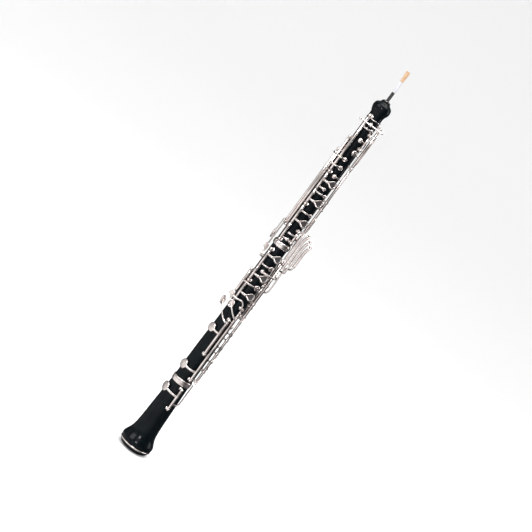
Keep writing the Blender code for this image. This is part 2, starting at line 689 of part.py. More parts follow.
def make_reed():
    """The reed's staple in its cork, the thread that ties the blades, and the two blades."""
    foot = BODY_LENGTH - WELL_DEPTH + 2.0
    sleeve_outer = WELL_RADIUS - FIT_GAP
    sleeve_inner = REED_CORK_RADIUS + FIT_GAP
    sleeve_foot = BODY_LENGTH - WELL_DEPTH + FIT_GAP
    collar = BODY_LENGTH + FIT_GAP
    fuse("reed_well_tube", [lathe([
        (sleeve_inner, collar + 0.8), (4.4, collar + 0.8), (4.4, collar), (sleeve_outer, collar),
        (sleeve_outer, sleeve_foot), (sleeve_inner, sleeve_foot)], 24)], SILVER)
    cork_top = up(REED_CORK_TOP)
    thread_top = up(THREAD_TOP)
    core = STAPLE_RADIUS + FIT_GAP
    fuse("reed_cork", [lathe([
        (core, cork_top), (REED_CORK_RADIUS - 0.1, cork_top), (REED_CORK_RADIUS, cork_top - 1.0),
        (REED_CORK_RADIUS, foot), (core, foot)], 20)], BLACK_CORK)
    fuse("reed_staple", [lathe([
        (STAPLE_BORE_RADIUS, thread_top - 0.5), (STAPLE_RADIUS, thread_top - 0.5),
        (STAPLE_RADIUS, foot), (STAPLE_BORE_RADIUS, foot)], 12)], STEEL)
    thread_foot = cork_top + FIT_GAP
    fuse("reed_thread", [lathe([
        (core, thread_top), (THREAD_RADIUS - 0.3, thread_top), (THREAD_RADIUS, thread_top - 1.0),
        (THREAD_RADIUS, thread_foot + 1.0), (THREAD_RADIUS - 0.3, thread_foot),
        (core, thread_foot)], 20)], THREAD)
    make_blade("reed_blade_front", -1.0)
    make_blade("reed_blade_back", 1.0)


def make_blade(name, side):
    """One blade of cane: a thin curved slip that flattens and widens towards its tip."""
    mesh = bmesh.new()
    rows = 5
    columns = 7
    foot = up(THREAD_TOP) + FIT_GAP
    grid = {}
    for row in range(rows):
        share = row / (rows - 1)
        half = (1.0 - share) * THREAD_RADIUS * 0.95 + share * BLADE_WIDTH / 2
        bulge = 1.5 * (1.0 - share) + 0.35
        thick = 0.6 - 0.3 * share
        for column in range(columns):
            across = -1.0 + 2.0 * column / (columns - 1)
            inner = 0.2 + bulge * (1.0 - across * across)
            height = foot + share * BLADE_LENGTH
            for layer, depth in enumerate((inner, inner + thick)):
                grid[row, column, layer] = mesh.verts.new((across * half, side * depth, height))
    for row in range(rows - 1):
        for column in range(columns - 1):
            for layer in (0, 1):
                mesh.faces.new((grid[row, column, layer], grid[row, column + 1, layer],
                                grid[row + 1, column + 1, layer], grid[row + 1, column, layer]))
        for column in (0, columns - 1):
            mesh.faces.new((grid[row, column, 0], grid[row + 1, column, 0],
                            grid[row + 1, column, 1], grid[row, column, 1]))
    for row in (0, rows - 1):
        for column in range(columns - 1):
            mesh.faces.new((grid[row, column, 0], grid[row, column + 1, 0],
                            grid[row, column + 1, 1], grid[row, column, 1]))
    bmesh.ops.recalc_face_normals(mesh, faces=mesh.faces)
    fuse(name, [mesh], CANE)


for old in list(bpy.data.objects):
    bpy.data.objects.remove(old)

make_rods()
make_octave_and_trill_keys()
make_left_hand_keys()
make_right_hand_keys()
make_low_keys()
make_little_finger_levers()
make_top_joint()
make_lower_joint()
make_bell()
make_rings_and_corks()
make_thumb_rest()
make_reed()
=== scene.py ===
import math

import bmesh
import bpy
from mathutils import Matrix, Vector


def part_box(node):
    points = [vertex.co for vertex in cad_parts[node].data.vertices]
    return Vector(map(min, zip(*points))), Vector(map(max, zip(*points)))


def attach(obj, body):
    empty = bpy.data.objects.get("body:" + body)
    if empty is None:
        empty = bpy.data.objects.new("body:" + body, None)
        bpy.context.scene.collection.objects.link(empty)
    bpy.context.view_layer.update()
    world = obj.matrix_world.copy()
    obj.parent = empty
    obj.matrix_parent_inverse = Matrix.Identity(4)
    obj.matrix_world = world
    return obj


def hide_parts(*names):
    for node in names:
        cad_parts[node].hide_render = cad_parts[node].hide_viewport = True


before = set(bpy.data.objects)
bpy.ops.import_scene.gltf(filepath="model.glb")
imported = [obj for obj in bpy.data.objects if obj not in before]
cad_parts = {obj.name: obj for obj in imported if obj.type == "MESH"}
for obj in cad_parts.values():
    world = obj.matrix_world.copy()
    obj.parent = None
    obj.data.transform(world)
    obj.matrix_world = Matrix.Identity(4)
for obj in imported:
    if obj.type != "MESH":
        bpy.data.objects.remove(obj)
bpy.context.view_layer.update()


# Body: three turned pieces of black African hardwood, oiled and polished.  The bell has a fat
# rolled lip, the joints taper gently towards the reed, and the head swells into a baluster.
# Each is turned outside and bored inside, then its tone holes are drilled and undercut.
MM = 0.001
ROOT = "instrument"
WOOD_COLOUR = (0.0010, 0.0028, 0.0040, 1.0)
WOOD_STREAK = (0.0046, 0.0054, 0.0062, 1.0)
BELL_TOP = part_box("bell")[1][2] / MM
LOWER_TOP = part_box("lower_joint")[1][2] / MM
WOOD_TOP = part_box("top_joint")[1][2] / MM
SHOULDER_GAP = 0.35
BODY_OUTLINE = (
    (9.2, 24.3), (13.0, 24.6), (19.0, 22.46), (29.0, 18.82), (50.0, 16.68), (70.0, 15.83),
    (93.0, 14.86), (117.0, 13.9), (126.0, 13.6), (180.0, 13.2), (226.0, 12.2), (355.5, 11.4),
    (364.0, 10.9), (576.0, 10.2), (601.0, 10.2),
)


def place(angle, radius, height):
    """A point beside the bore: angle from the front, distance and height in millimetres."""
    turn = math.radians(angle)
    return Vector((radius * math.sin(turn), -radius * math.cos(turn), height)) * MM


def outward(angle):
    return place(angle, 1.0, 0.0).normalized()


def wood_radius(height):
    """Outside radius of the wood at a height, both in millimetres."""
    for (low, low_radius), (high, high_radius) in zip(BODY_OUTLINE, BODY_OUTLINE[1:]):
        if low <= height <= high:
            share = (height - low) / (high - low)
            return low_radius + share * (high_radius - low_radius)
    return BODY_OUTLINE[-1][1]


def smooth_curve(points, steps=6):
    """More points along a smooth curve that keeps to the given ones."""
    out = []
    count = len(points)
    for i in range(count - 1):
        p0, p1 = points[max(i - 1, 0)], points[i]
        p2, p3 = points[i + 1], points[min(i + 2, count - 1)]
        for step in range(steps):
            t = step / steps
            out.append(tuple(
                0.5 * (2 * b + (c - a) * t + (2 * a - 5 * b + 4 * c - d) * t ** 2
                       + (3 * b - a - 3 * c + d) * t ** 3)
                for a, b, c, d in zip(p0, p1, p2, p3)))
    out.append(points[-1])
    return out


def turned(shape, profile, matrix=None, segments=32, closed=False):
    """Turns a profile of (radius, height) millimetres about the matrix's own Z axis."""
    matrix = matrix or Matrix.Identity(4)
    rings = []
    for radius, height in profile:
        ring = []
        for step in range(segments):
            turn = 2 * math.pi * step / segments
            point = Vector((radius * math.cos(turn), radius * math.sin(turn), height)) * MM
            ring.append(shape.verts.new(matrix @ point))
        rings.append(ring)
    pairs = list(zip(rings, rings[1:]))
    if closed:
        pairs.append((rings[-1], rings[0]))
    for low, high in pairs:
        for i in range(segments):
            j = (i + 1) % segments
            shape.faces.new((low[i], low[j], high[j], high[i]))
    if not closed:
        shape.faces.new(rings[0][::-1])
        shape.faces.new(rings[-1])


def piece(name, shape, material, body=ROOT, stands_for=(), crease=38.0):
    """Makes a shaped mesh into a named piece that rides on a body."""
    bmesh.ops.recalc_face_normals(shape, faces=shape.faces)
    mesh = bpy.data.meshes.new(name)
    shape.to_mesh(mesh)
    shape.free()
    mesh.shade_smooth()
    mesh.set_sharp_from_angle(angle=math.radians(crease))
    mesh.materials.append(material)
    thing = bpy.data.objects.new(name, mesh)
    bpy.context.collection.objects.link(thing)
    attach(thing, body)
    if stands_for:
        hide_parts(*stands_for)
    return thing


def nodes_of(name):
    """A new material with nodes, its Principled shader and its node tree."""
    material = bpy.data.materials.new(name)
    material.use_nodes = True
    tree = material.node_tree
    return material, tree, tree.nodes["Principled BSDF"]


def add_node(tree, kind, **values):
    """A node with its input sockets set by name."""
    node = tree.nodes.new(kind)
    for key, value in values.items():
        node.inputs[key.replace("_", " ")].default_value = value
    return node


def colour_ramp(tree, stops):
    ramp = tree.nodes.new("ShaderNodeValToRGB")
    elements = ramp.color_ramp.elements
    elements[0].position, elements[0].color = stops[0]
    elements[1].position, elements[1].color = stops[-1]
    for position, colour in stops[1:-1]:
        elements.new(position).color = colour
    return ramp


def make_handling_group():
    """Faint rubbing and finger haze: a mask that changes slowly, and a finely scuffed normal."""
    group = bpy.data.node_groups.new("handling marks", "ShaderNodeTree")
    face = group.interface
    for name, value in (("Size", 60.0), ("Low Roughness", 0.15), ("High Roughness", 0.3),
                        ("Scuff", 0.05)):
        socket = face.new_socket(name=name, in_out="INPUT", socket_type="NodeSocketFloat")
        socket.default_value = value
    face.new_socket(name="Haze", in_out="OUTPUT", socket_type="NodeSocketFloat")
    face.new_socket(name="Roughness", in_out="OUTPUT", socket_type="NodeSocketFloat")
    face.new_socket(name="Normal", in_out="OUTPUT", socket_type="NodeSocketVector")
    start = group.nodes.new("NodeGroupInput")
    end = group.nodes.new("NodeGroupOutput")
    where = group.nodes.new("ShaderNodeTexCoord")
    haze = add_node(group, "ShaderNodeTexNoise", Detail=4.0, Roughness=0.6)
    group.links.new(where.outputs["Object"], haze.inputs["Vector"])
    group.links.new(start.outputs["Size"], haze.inputs["Scale"])
    spread = group.nodes.new("ShaderNodeMapRange")
    spread.inputs["From Min"].default_value = 0.3
    spread.inputs["From Max"].default_value = 0.7
    group.links.new(haze.outputs["Fac"], spread.inputs["Value"])
    group.links.new(start.outputs["Low Roughness"], spread.inputs["To Min"])
    group.links.new(start.outputs["High Roughness"], spread.inputs["To Max"])
    fine = add_node(group, "ShaderNodeTexNoise", Scale=900.0, Detail=3.0)
    group.links.new(where.outputs["Object"], fine.inputs["Vector"])
    bump = add_node(group, "ShaderNodeBump", Distance=0.0002)
    group.links.new(start.outputs["Scuff"], bump.inputs["Strength"])
    group.links.new(fine.outputs["Fac"], bump.inputs["Height"])
    group.links.new(haze.outputs["Fac"], end.inputs["Haze"])
    group.links.new(spread.outputs["Result"], end.inputs["Roughness"])
    group.links.new(bump.outputs["Normal"], end.inputs["Normal"])
    return group


handling_marks = make_handling_group()


def add_handling(tree, shader, size, low, high, scuff):
    """Places the handling marks in a material, and links its roughness and normal."""
    marks = tree.nodes.new("ShaderNodeGroup")
    marks.node_tree = handling_marks
    for name, value in (("Size", size), ("Low Roughness", low), ("High Roughness", high),
                        ("Scuff", scuff)):
        marks.inputs[name].default_value = value
    tree.links.new(marks.outputs["Roughness"], shader.inputs["Roughness"])
    tree.links.new(marks.outputs["Normal"], shader.inputs["Normal"])
    return marks


def make_blackwood():
    """Near-black wood with long dark-brown streaks and open pores along the bore."""
    material, tree, shader = nodes_of("blackwood")
    where = tree.nodes.new("ShaderNodeTexCoord")
    stretch = tree.nodes.new("ShaderNodeMapping")
    stretch.inputs["Scale"].default_value = (1.0, 1.0, 0.05)
    tree.links.new(where.outputs["Object"], stretch.inputs["Vector"])
    grain = add_node(tree, "ShaderNodeTexNoise", Scale=420.0, Detail=6.0, Distortion=0.3)
    tree.links.new(stretch.outputs["Vector"], grain.inputs["Vector"])
    ramp = colour_ramp(tree, ((0.46, WOOD_COLOUR), (0.74, WOOD_STREAK)))
    tree.links.new(grain.outputs["Fac"], ramp.inputs["Fac"])
    tree.links.new(ramp.outputs["Color"], shader.inputs["Base Color"])
    marks = add_handling(tree, shader, 38.0, 0.16, 0.30, 0.03)
    pores = add_node(tree, "ShaderNodeBump", Strength=0.10, Distance=0.0002)
    tree.links.new(grain.outputs["Fac"], pores.inputs["Height"])
    tree.links.new(marks.outputs["Normal"], pores.inputs["Normal"])
    tree.links.new(pores.outputs["Normal"], shader.inputs["Normal"])
    shader.inputs["Specular IOR Level"].default_value = 0.08
    shader.inputs["Coat Weight"].default_value = 0.14
    shader.inputs["Coat Roughness"].default_value = 0.07
    return material


blackwood = make_blackwood()
BODY_SEGMENTS = 96


def outline_part(low, high):
    """The wood's outside between two heights, as smooth (radius, height) points."""
    points = [(radius, height) for height, radius in BODY_OUTLINE if low < height < high]
    points = [(wood_radius(low), low)] + points + [(wood_radius(high), high)]
    return smooth_curve(points, 5)


def make_bell():
    shape = bmesh.new()
    lip = [(14.8, 0.0), (15.6, 0.0), (17.2, 0.12), (18.8, 0.6), (20.4, 1.5), (21.8, 3.0),
           (22.8, 4.7), (23.2, 6.2), (22.2, 6.4), (22.2, 9.0), (23.7, 9.15), (24.3, 10.2)]
    flare = smooth_curve([(24.3, 10.2), (24.6, 13.0), (24.0, 16.0), (22.46, 19.5), (20.2, 24.5),
                          (18.5, 30.5), (17.3, 40.0), (16.68, 50.0), (15.83, 70.0),
                          (14.86, 93.0), (13.9, 116.6)], 5)
    inside = [(12.5, 116.9), (12.5, BELL_TOP), (10.4, BELL_TOP), (10.4, 103.5), (8.2, 103.5)]
    mouth = smooth_curve([(8.2, 103.5), (9.3, 80.0), (10.8, 55.0), (12.9, 22.0), (14.2, 3.0),
                          (14.7, 0.4)], 5)
    turned(shape, lip + flare[1:] + inside + mouth[1:], segments=BODY_SEGMENTS, closed=True)
    piece("bell_wood", shape, blackwood, stands_for=("bell",))


def make_lower_joint():
    shape = bmesh.new()
    foot = BELL_TOP - 21.5
    outside = outline_part(BELL_TOP + SHOULDER_GAP, 355.1)
    profile = [(7.7, foot), (9.0, foot + 0.2), (9.0, BELL_TOP + SHOULDER_GAP)] + outside
    profile += [(10.5, 355.4), (10.5, LOWER_TOP), (8.7, LOWER_TOP), (8.7, LOWER_TOP - 22.5),
                (3.5, LOWER_TOP - 22.5)]
    turned(shape, profile, segments=BODY_SEGMENTS, closed=True)
    piece("lower_joint_wood", shape, blackwood, stands_for=("lower_joint",))


def make_top_joint():
    shape = bmesh.new()
    shoulder = LOWER_TOP + SHOULDER_GAP
    foot = LOWER_TOP - 21.5
    stem = [(3.5, foot), (7.3, foot + 0.2), (7.3, shoulder), (10.7, shoulder), (10.9, 365.2)]
    tube = smooth_curve([(10.9, 365.2), (10.6, 470.0), (10.2, 572.0)], 8)
    baluster = smooth_curve([(10.2, 572.0), (10.15, 577.0), (10.6, 580.2), (12.0, 583.2),
                             (13.05, 586.2), (13.3, 588.8), (13.1, 591.3), (12.2, 593.8),
                             (10.3, 595.7), (8.4, 597.0), (7.1, 598.2), (6.4, 599.6)], 5)
    lip = [(6.0, 600.6), (5.3, WOOD_TOP), (3.5, WOOD_TOP), (3.5, 578.0), (2.1, 577.9)]
    turned(shape, stem + tube[1:] + baluster[1:] + lip, segments=BODY_SEGMENTS, closed=True)
    piece("top_joint_wood", shape, blackwood, stands_for=("top_joint",))


make_bell()
make_lower_joint()
make_top_joint()


# Tenon corks: a strip of sheet cork glued round each tenon and sanded until the joint slides
# in snugly; it is greased, so it is darker where it has rubbed.
def make_cork(name, light, dark):
    material, tree, shader = nodes_of(name)
    where = tree.nodes.new("ShaderNodeTexCoord")
    cells = add_node(tree, "ShaderNodeTexVoronoi", Scale=900.0)
    tree.links.new(where.outputs["Object"], cells.inputs["Vector"])
    ramp = colour_ramp(tree, ((0.1, dark), (0.6, light)))
    tree.links.new(cells.outputs["Distance"], ramp.inputs["Fac"])
    tree.links.new(ramp.outputs["Color"], shader.inputs["Base Color"])
    marks = add_handling(tree, shader, 120.0, 0.65, 0.9, 0.3)
    pits = add_node(tree, "ShaderNodeBump", Strength=0.4, Distance=0.0002)
    tree.links.new(cells.outputs["Distance"], pits.inputs["Height"])
    tree.links.new(marks.outputs["Normal"], pits.inputs["Normal"])
    tree.links.new(pits.outputs["Normal"], shader.inputs["Normal"])
    return material


tenon_cork = make_cork("tenon_cork", (0.52, 0.35, 0.20, 1.0), (0.28, 0.17, 0.09, 1.0))
for cork_name, core, joint in (("middle_tenon_cork", 7.6, LOWER_TOP),
                               ("bell_tenon_cork", 9.3, BELL_TOP)):
    shape = bmesh.new()
    low = joint - 19.5
    high = joint - 3.0
    turned(shape, [(core, low), (core + 0.4, low), (core + 0.65, low + 0.4),
                   (core + 0.65, high - 0.4), (core + 0.4, high), (core, high)],
           segments=64, closed=True)
    piece(f"{cork_name}_strip", shape, tenon_cork, stands_for=(cork_name,))


# Socket and rim rings: nickel-silver hoops turned and silver-plated, pressed on where the wood
# is thin.  The middle ring bulges, the bell's has a groove, and the rim ring is a fine band.
SILVER_COLOUR = (0.90, 0.835, 0.805, 1.0)
SILVER_TARNISH = (0.60, 0.50, 0.465, 1.0)


def make_silver(name, clean, tarnish, low, high):
    """Silver plate: bright, a little warm, hazed where fingers have been."""
    material, tree, shader = nodes_of(name)
    marks = add_handling(tree, shader, 85.0, low, high, 0.04)
    ramp = colour_ramp(tree, ((0.42, clean), (0.80, tarnish)))
    tree.links.new(marks.outputs["Haze"], ramp.inputs["Fac"])
    tree.links.new(ramp.outputs["Color"], shader.inputs["Base Color"])
    shader.inputs["Metallic"].default_value = 1.0
    return material


silver = make_silver("silver_plate", SILVER_COLOUR, SILVER_TARNISH, 0.11, 0.22)


def make_hoop(name, profile):
    shape = bmesh.new()
    turned(shape, profile, segments=BODY_SEGMENTS, closed=True)
    piece(f"{name}_hoop", shape, silver, stands_for=(name,))


def hoop_profile(node, wall):
    """The lowest, highest and outer measures of a ring's node, and its bore."""
    low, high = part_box(node)
    outer = high[0] / MM
    return low[2] / MM, high[2] / MM, outer, outer - wall


low, high, outer, inner = hoop_profile("middle_socket_ring", 2.35)
bulge = smooth_curve([(outer - 0.75, low + 0.6), (outer - 0.1, low + 2.2),
                      (outer, (low + high) / 2), (outer - 0.1, high - 2.2),
                      (outer - 0.75, high - 0.6)], 5)
make_hoop("middle_socket_ring", [(inner, low), (outer - 1.3, low)] + bulge
          + [(outer - 1.3, high), (inner, high)])
low, high, outer, inner = hoop_profile("bell_socket_ring", 2.05)
groove = [(outer - 0.5, low + 0.2), (outer, low + 0.9), (outer, low + 2.6),
          (outer - 0.55, low + 2.9), (outer - 0.55, low + 3.5), (outer, low + 3.8),
          (outer, high - 1.0), (outer - 0.5, high - 0.2)]
make_hoop("bell_socket_ring", [(inner, low), (outer - 1.0, low)] + groove
          + [(outer - 1.0, high), (inner, high)])
low, high, outer, inner = hoop_profile("bell_rim_ring", 1.9)
make_hoop("bell_rim_ring", [(inner, low), (outer - 0.4, low), (outer, low + 0.5),
                            (outer, high - 0.5), (outer - 0.4, high), (inner, high)])
low, high, outer, inner = hoop_profile("top_ring", 0.7)
make_hoop("top_ring", [(inner, low), (outer - 0.3, low), (outer, low + 0.4),
                       (outer, high - 0.4), (outer - 0.3, high), (inner, high)])


# Rods and posts: each hinge rod is a straight steel wire, polished, screwed through the balls
# of silver-plated posts.  A post is turned in one piece, ball, stem and foot, and its threaded
# shank goes into the wood.  A blued needle spring leaves the post and lies under the tube.
ROD_RADIUS = 1.1
POST_BALL = 2.28
ROD_STANDOFF = 4.4
RODS = {
    "upper_left_rod": (-59.0, (367.5, 427.0, 482.0, 574.0)),
    "upper_right_rod": (54.0, (367.5, 389.0, 500.0, 566.0)),
    "upper_front_rod": (14.0, (528.0, 551.0)),
    "long_trill_rod": (-84.0, (388.0, 535.0)),
    "short_trill_rod": (-109.0, (388.0, 512.0)),
    "thumb_key_rod": (152.0, (478.0, 545.0)),
    "bridge_rod": (7.0, (371.0, 389.0)),
    "lower_left_rod": (-60.0, (256.0, 296.0, 349.0)),
    "lower_left_outer_rod": (-87.0, (264.0, 310.0)),
    "front_left_rod": (-19.0, (174.5, 234.0)),
    "front_rod": (2.0, (132.0, 256.0)),
    "lower_right_rod": (46.0, (132.0, 340.0)),
    "lower_right_outer_rod": (69.0, (150.0, 340.0)),
    "lower_right_back_rod": (93.0, (240.0, 296.0, 340.0)),
    "bell_rod": (-5.0, (80.5, 114.0)),
}


def rod_radius(name):
    """How far a rod lies from the bore's axis."""
    return max(wood_radius(height) for height in RODS[name][1]) + ROD_STANDOFF


def facing_matrix(origin, direction):
    """A frame at a point with its Z axis along a direction."""
    turn = direction.to_track_quat("Z", "Y").to_matrix().to_4x4()
    return Matrix.Translation(origin) @ turn


steel = make_silver("steel_rod", (0.66, 0.65, 0.64, 1.0), (0.44, 0.42, 0.41, 1.0), 0.2, 0.34)
blued_steel = make_silver("blued_steel", (0.10, 0.12, 0.20, 1.0), (0.05, 0.05, 0.08, 1.0),
                          0.25, 0.4)


def half_ball(radius, start, end, steps=10):
    """Points of a ball's outline, from one angle above its middle to another."""
    points = []
    for step in range(steps + 1):
        turn = math.radians(start + (end - start) * step / steps)
        points.append((radius * math.cos(turn), radius * math.sin(turn)))
    return points


def make_post(name, angle, radius, height):
    """A turned post: a foot on the wood, a waisted stem and a ball round the rod."""
    base = wood_radius(height) - 0.05
    reach = radius - base
    foot = [(2.7, 0.0), (2.7, 0.35), (2.35, 0.6), (1.5, 0.8), (1.15, 1.2), (1.1, reach - 2.6),
            (1.3, reach - 2.05)]
    bulb = [(r, reach + z) for r, z in half_ball(POST_BALL, -52.0, 80.0)]
    shape = bmesh.new()
    turned(shape, foot + bulb, facing_matrix(place(angle, base, height), outward(angle)))
    piece(name, shape, silver)


def make_rod(name):
    angle, heights = RODS[name]
    radius = rod_radius(name)
    low = heights[0] - POST_BALL - 0.1
    high = heights[-1] + POST_BALL + 0.1
    shape = bmesh.new()
    profile = [(0.75, low + 0.05), (1.15, low + 0.2), (1.15, low + 0.8), (ROD_RADIUS, low + 1.0),
               (ROD_RADIUS, high - 1.0), (1.15, high - 0.8), (1.15, high - 0.2),
               (0.75, high - 0.05)]
    turned(shape, profile, Matrix.Translation(place(angle, radius, 0.0)), segments=24)
    piece(f"{name}_steel", shape, steel, stands_for=(name,))
    for number, height in enumerate(heights, 1):
        make_post(f"{name}_post_{number}", angle, radius, height)
    for number, (below, above) in enumerate(zip(heights, heights[1:]), 1):
        length = min(16.0, (above - below) * 0.55)
        spring = bmesh.new()
        turned(spring, [(0.22, below + 1.0), (0.22, below + length), (0.1, below + length + 2.0)],
               Matrix.Translation(place(angle, radius - 2.75, 0.0)), segments=8)
        piece(f"{name}_spring_{number}", spring, blued_steel)


for rod_name in RODS:
    make_rod(rod_name)


# Guides: on the right side a long hinge tube also runs through rings, each turned in one with
# its post and bored a little larger than the tube, so that the key cannot whip.
GUIDES = {"upper_right_rod": (430.0, 443.0), "lower_right_rod": (150.5, 182.0, 206.0, 270.0),
          "lower_right_outer_rod": (166.0, 190.0, 214.0, 262.0, 300.0)}


def make_guide(name, rod, height):
    """A guide halfway along a long key: a post whose top is a ring round the hinge tube."""
    angle = RODS[rod][0]
    base = wood_radius(height) - 0.05
    reach = rod_radius(rod) - base
    shape = bmesh.new()
    turned(shape, [(2.3, 0.0), (2.3, 0.35), (1.9, 0.6), (1.2, 0.8), (0.95, 1.1),
                   (1.0, reach - 2.4)],
           facing_matrix(place(angle, base, height), outward(angle)), segments=24)
    turned(shape, [(2.25, height - 1.1), (2.8, height - 1.1), (3.0, height - 0.7),
                   (3.0, height + 0.7), (2.8, height + 1.1), (2.25, height + 1.1)],
           Matrix.Translation(place(angle, rod_radius(rod), 0.0)), segments=24, closed=True)
    piece(name, shape, silver)


for rod_name, heights in GUIDES.items():
    for number, height in enumerate(heights, 1):
        make_guide(f"{rod_name}_guide_{number}", rod_name, height)


# Stay: a turned, silver-plated bar that lies across the head with a ball at each end, soldered
# to the top of its own post.
def beside(across, front, height):
    """A point so far to the right of the bore, in front of it and up, in millimetres."""
    right = outward(60.0) * across * MM
    return right + outward(-30.0) * front * MM + Vector((0.0, 0.0, height * MM))


def make_stay():
    """The bar across the head, with a ball at each end, on its own post."""
    height = 564.0
    front = wood_radius(height) + 6.9
    left = beside(-15.0, front, height)
    right = beside(20.0, front, height)
    span = (right - left).length / MM
    profile = half_ball(1.74, -90.0, 55.0, 8)
    profile += [(0.95, 1.9), (0.95, span / 2 - 3.0), (1.5, span / 2 - 2.6),
                (1.5, span / 2 - 1.2), (0.95, span / 2 - 0.8), (0.95, span - 1.9)]
    profile += [(r, span + z) for r, z in half_ball(1.74, -55.0, 90.0, 8)]
    profile[0] = (0.05, profile[0][1])
    profile[-1] = (0.05, profile[-1][1])
    shape = bmesh.new()
    turned(shape, profile, facing_matrix(left, (right - left).normalized()), segments=20)
    piece("upper_stay_bar", shape, silver, stands_for=("upper_stay",))
    make_post("upper_stay_post", -23.0, front, height)


make_stay()


# Keys: a hinge tube is drawn nickel silver with a collar at each end; the arms, pad cups and
# finger plates are forged, hard-soldered to it, filed smooth and then plated as one.
TUBE_RADIUS = 2.08
TUBE_BORE = 1.5
POST_CLEAR = 2.6
TUBE_GAP = 0.2
ARM_LIFT = 3.3
ARM_WIDTH = 2.1
ARM_THICKNESS = 1.45
CUP_FLOOR = 1.9
CUP_DEPTH = 2.2


def swept(shape, path, width, thickness, swell=1.35, ends=1.0):
    """A forged bar of rounded section along (point, facing) stops; it swells at both ends."""
    sides = 12
    stops = len(path)
    rings = []
    for i, (point, facing) in enumerate(path):
        along = path[min(i + 1, stops - 1)][0] - path[max(i - 1, 0)][0]
        side = along.cross(facing).normalized()
        share = abs(2.0 * i / (stops - 1) - 1.0)
        half = width / 2 * (1.0 + (swell - 1.0) * share ** 3) * MM
        deep = thickness / 2 * (1.0 + (ends - 1.0) * share ** 3) * MM
        ring = []
        for k in range(sides):
            turn = 2 * math.pi * (k + 0.5) / sides
            c, s = math.cos(turn), math.sin(turn)
            x = math.copysign(abs(c) ** 0.6, c) * half
            y = math.copysign(abs(s) ** 0.6, s) * deep
            ring.append(shape.verts.new(point + side * x + facing * y))
        rings.append(ring)
    for low, high in zip(rings, rings[1:]):
        for i in range(sides):
            j = (i + 1) % sides
            shape.faces.new((low[i], low[j], high[j], high[i]))
    shape.faces.new(rings[0][::-1])
    shape.faces.new(rings[-1])


def round_path(stops):
    """Stops of (angle, radius, height) round the body, as a smooth path with its facings."""
    path = []
    for angle, radius, height in smooth_curve(stops, 7):
        path.append((place(angle, radius, height), outward(angle)))
    return path


def tube(shape, rod, low, high):
    """The hinge tube between two posts or neighbours, with a turned collar at each end."""
    angle, posts = RODS[rod]
    bottom = low + (POST_CLEAR if low in posts else TUBE_GAP)
    top = high - (POST_CLEAR if high in posts else TUBE_GAP)
    body = TUBE_RADIUS - 0.12
    profile = [(TUBE_BORE, bottom), (TUBE_RADIUS, bottom), (TUBE_RADIUS, bottom + 1.3),
               (body - 0.15, bottom + 1.5), (body, bottom + 1.8), (body, top - 1.8),
               (body - 0.15, top - 1.5), (TUBE_RADIUS, top - 1.3), (TUBE_RADIUS, top),
               (TUBE_BORE, top)]
    turned(shape, profile, Matrix.Translation(place(angle, rod_radius(rod), 0.0)),
           segments=24, closed=True)


def arm(shape, rod, start, angle, height, width=ARM_WIDTH):
    """An arm that bends from the tube round to the top of a cup."""
    hinge = RODS[rod][0]
    radius = rod_radius(rod)
    lift = wood_radius(height) + ARM_LIFT
    side = math.copysign(7.0, angle - hinge)
    stops = [(hinge, radius + 0.3, start), (hinge + side, max(lift, radius - 0.8), start),
             ((hinge + side + angle) / 2, (max(lift, radius - 0.8) + lift) / 2,
              (start + height) / 2), (angle, lift + 0.1, height)]
    swept(shape, round_path(stops), width, ARM_THICKNESS)


def over_arm(shape, rod, start, crossed, angle, height, lift=0.0):
    """An arm that rises over its neighbours' tubes before it comes down on its cup."""
    hinge = RODS[rod][0]
    over = rod_radius(rod) + 2.1 + 0.9 + 0.7 + lift
    side = math.copysign(9.0, angle - hinge)
    down = wood_radius(height) + ARM_LIFT
    stops = [(hinge, rod_radius(rod) + 0.4, start), (hinge + side, over, start),
             (crossed, over, height), (crossed + 1.5 * side, over - 0.1, height),
             (angle, down + 0.1, height)]
    swept(shape, round_path(stops), ARM_WIDTH, ARM_THICKNESS)


seats = []


def cup(shape, owner, angle, height, radius):
    """A pad cup: a shallow turned bowl over its hole, domed, with a ring filed round its top."""
    base = wood_radius(height) + CUP_FLOOR
    seats.append((owner, angle, height, radius))
    profile = [(radius * 0.3, 0.3), (radius - 0.5, 0.3), (radius - 0.3, 0.0), (radius, 0.05),
               (radius, 0.8), (radius * 0.965, 1.15), (radius * 0.88, 1.5),
               (radius * 0.74, 1.78), (radius * 0.56, 1.98), (radius * 0.50, 1.9),
               (radius * 0.44, 2.05), (radius * 0.24, CUP_DEPTH - 0.05), (0.05, CUP_DEPTH)]
    turned(shape, profile, facing_matrix(place(angle, base, height), outward(angle)))


def dished_plate(shape, centre, facing, along, outline, rise=1.0, drop=0.9):
    """A finger plate: a dished face inside a raised rounded rim, of any outline."""
    across = along.cross(facing).normalized()
    segments = 48
    rows = ((0.05, -0.05), (0.35, 0.0), (0.58, 0.12), (0.68, 0.35), (0.76, 0.85), (0.85, 1.0),
            (0.94, 0.92), (0.985, 0.68), (1.0, 0.35), (1.0, 0.0), (0.93, -0.35), (0.05, -0.35))
    rings = []
    for share, lift in rows:
        ring = []
        for step in range(segments):
            turn = 2 * math.pi * step / segments
            x, y = outline(turn)
            height = lift * (rise if lift > 0 else drop)
            point = centre + (across * x * share + along * y * share + facing * height) * MM
            ring.append(shape.verts.new(point))
        rings.append(ring)
    for low, high in zip(rings, rings[1:]):
        for i in range(segments):
            j = (i + 1) % segments
            shape.faces.new((low[i], low[j], high[j], high[i]))
    shape.faces.new(rings[0])
    shape.faces.new(rings[-1])


def teardrop(radius, tail, side):
    """A round plate drawn out to a blunt point on one side."""
    def outline(turn):
        c, s = math.cos(turn), math.sin(turn)
        pull = max(0.0, c * side) ** 3
        return (c * (radius + tail * pull), s * radius * (1.0 - 0.45 * pull))
    return outline


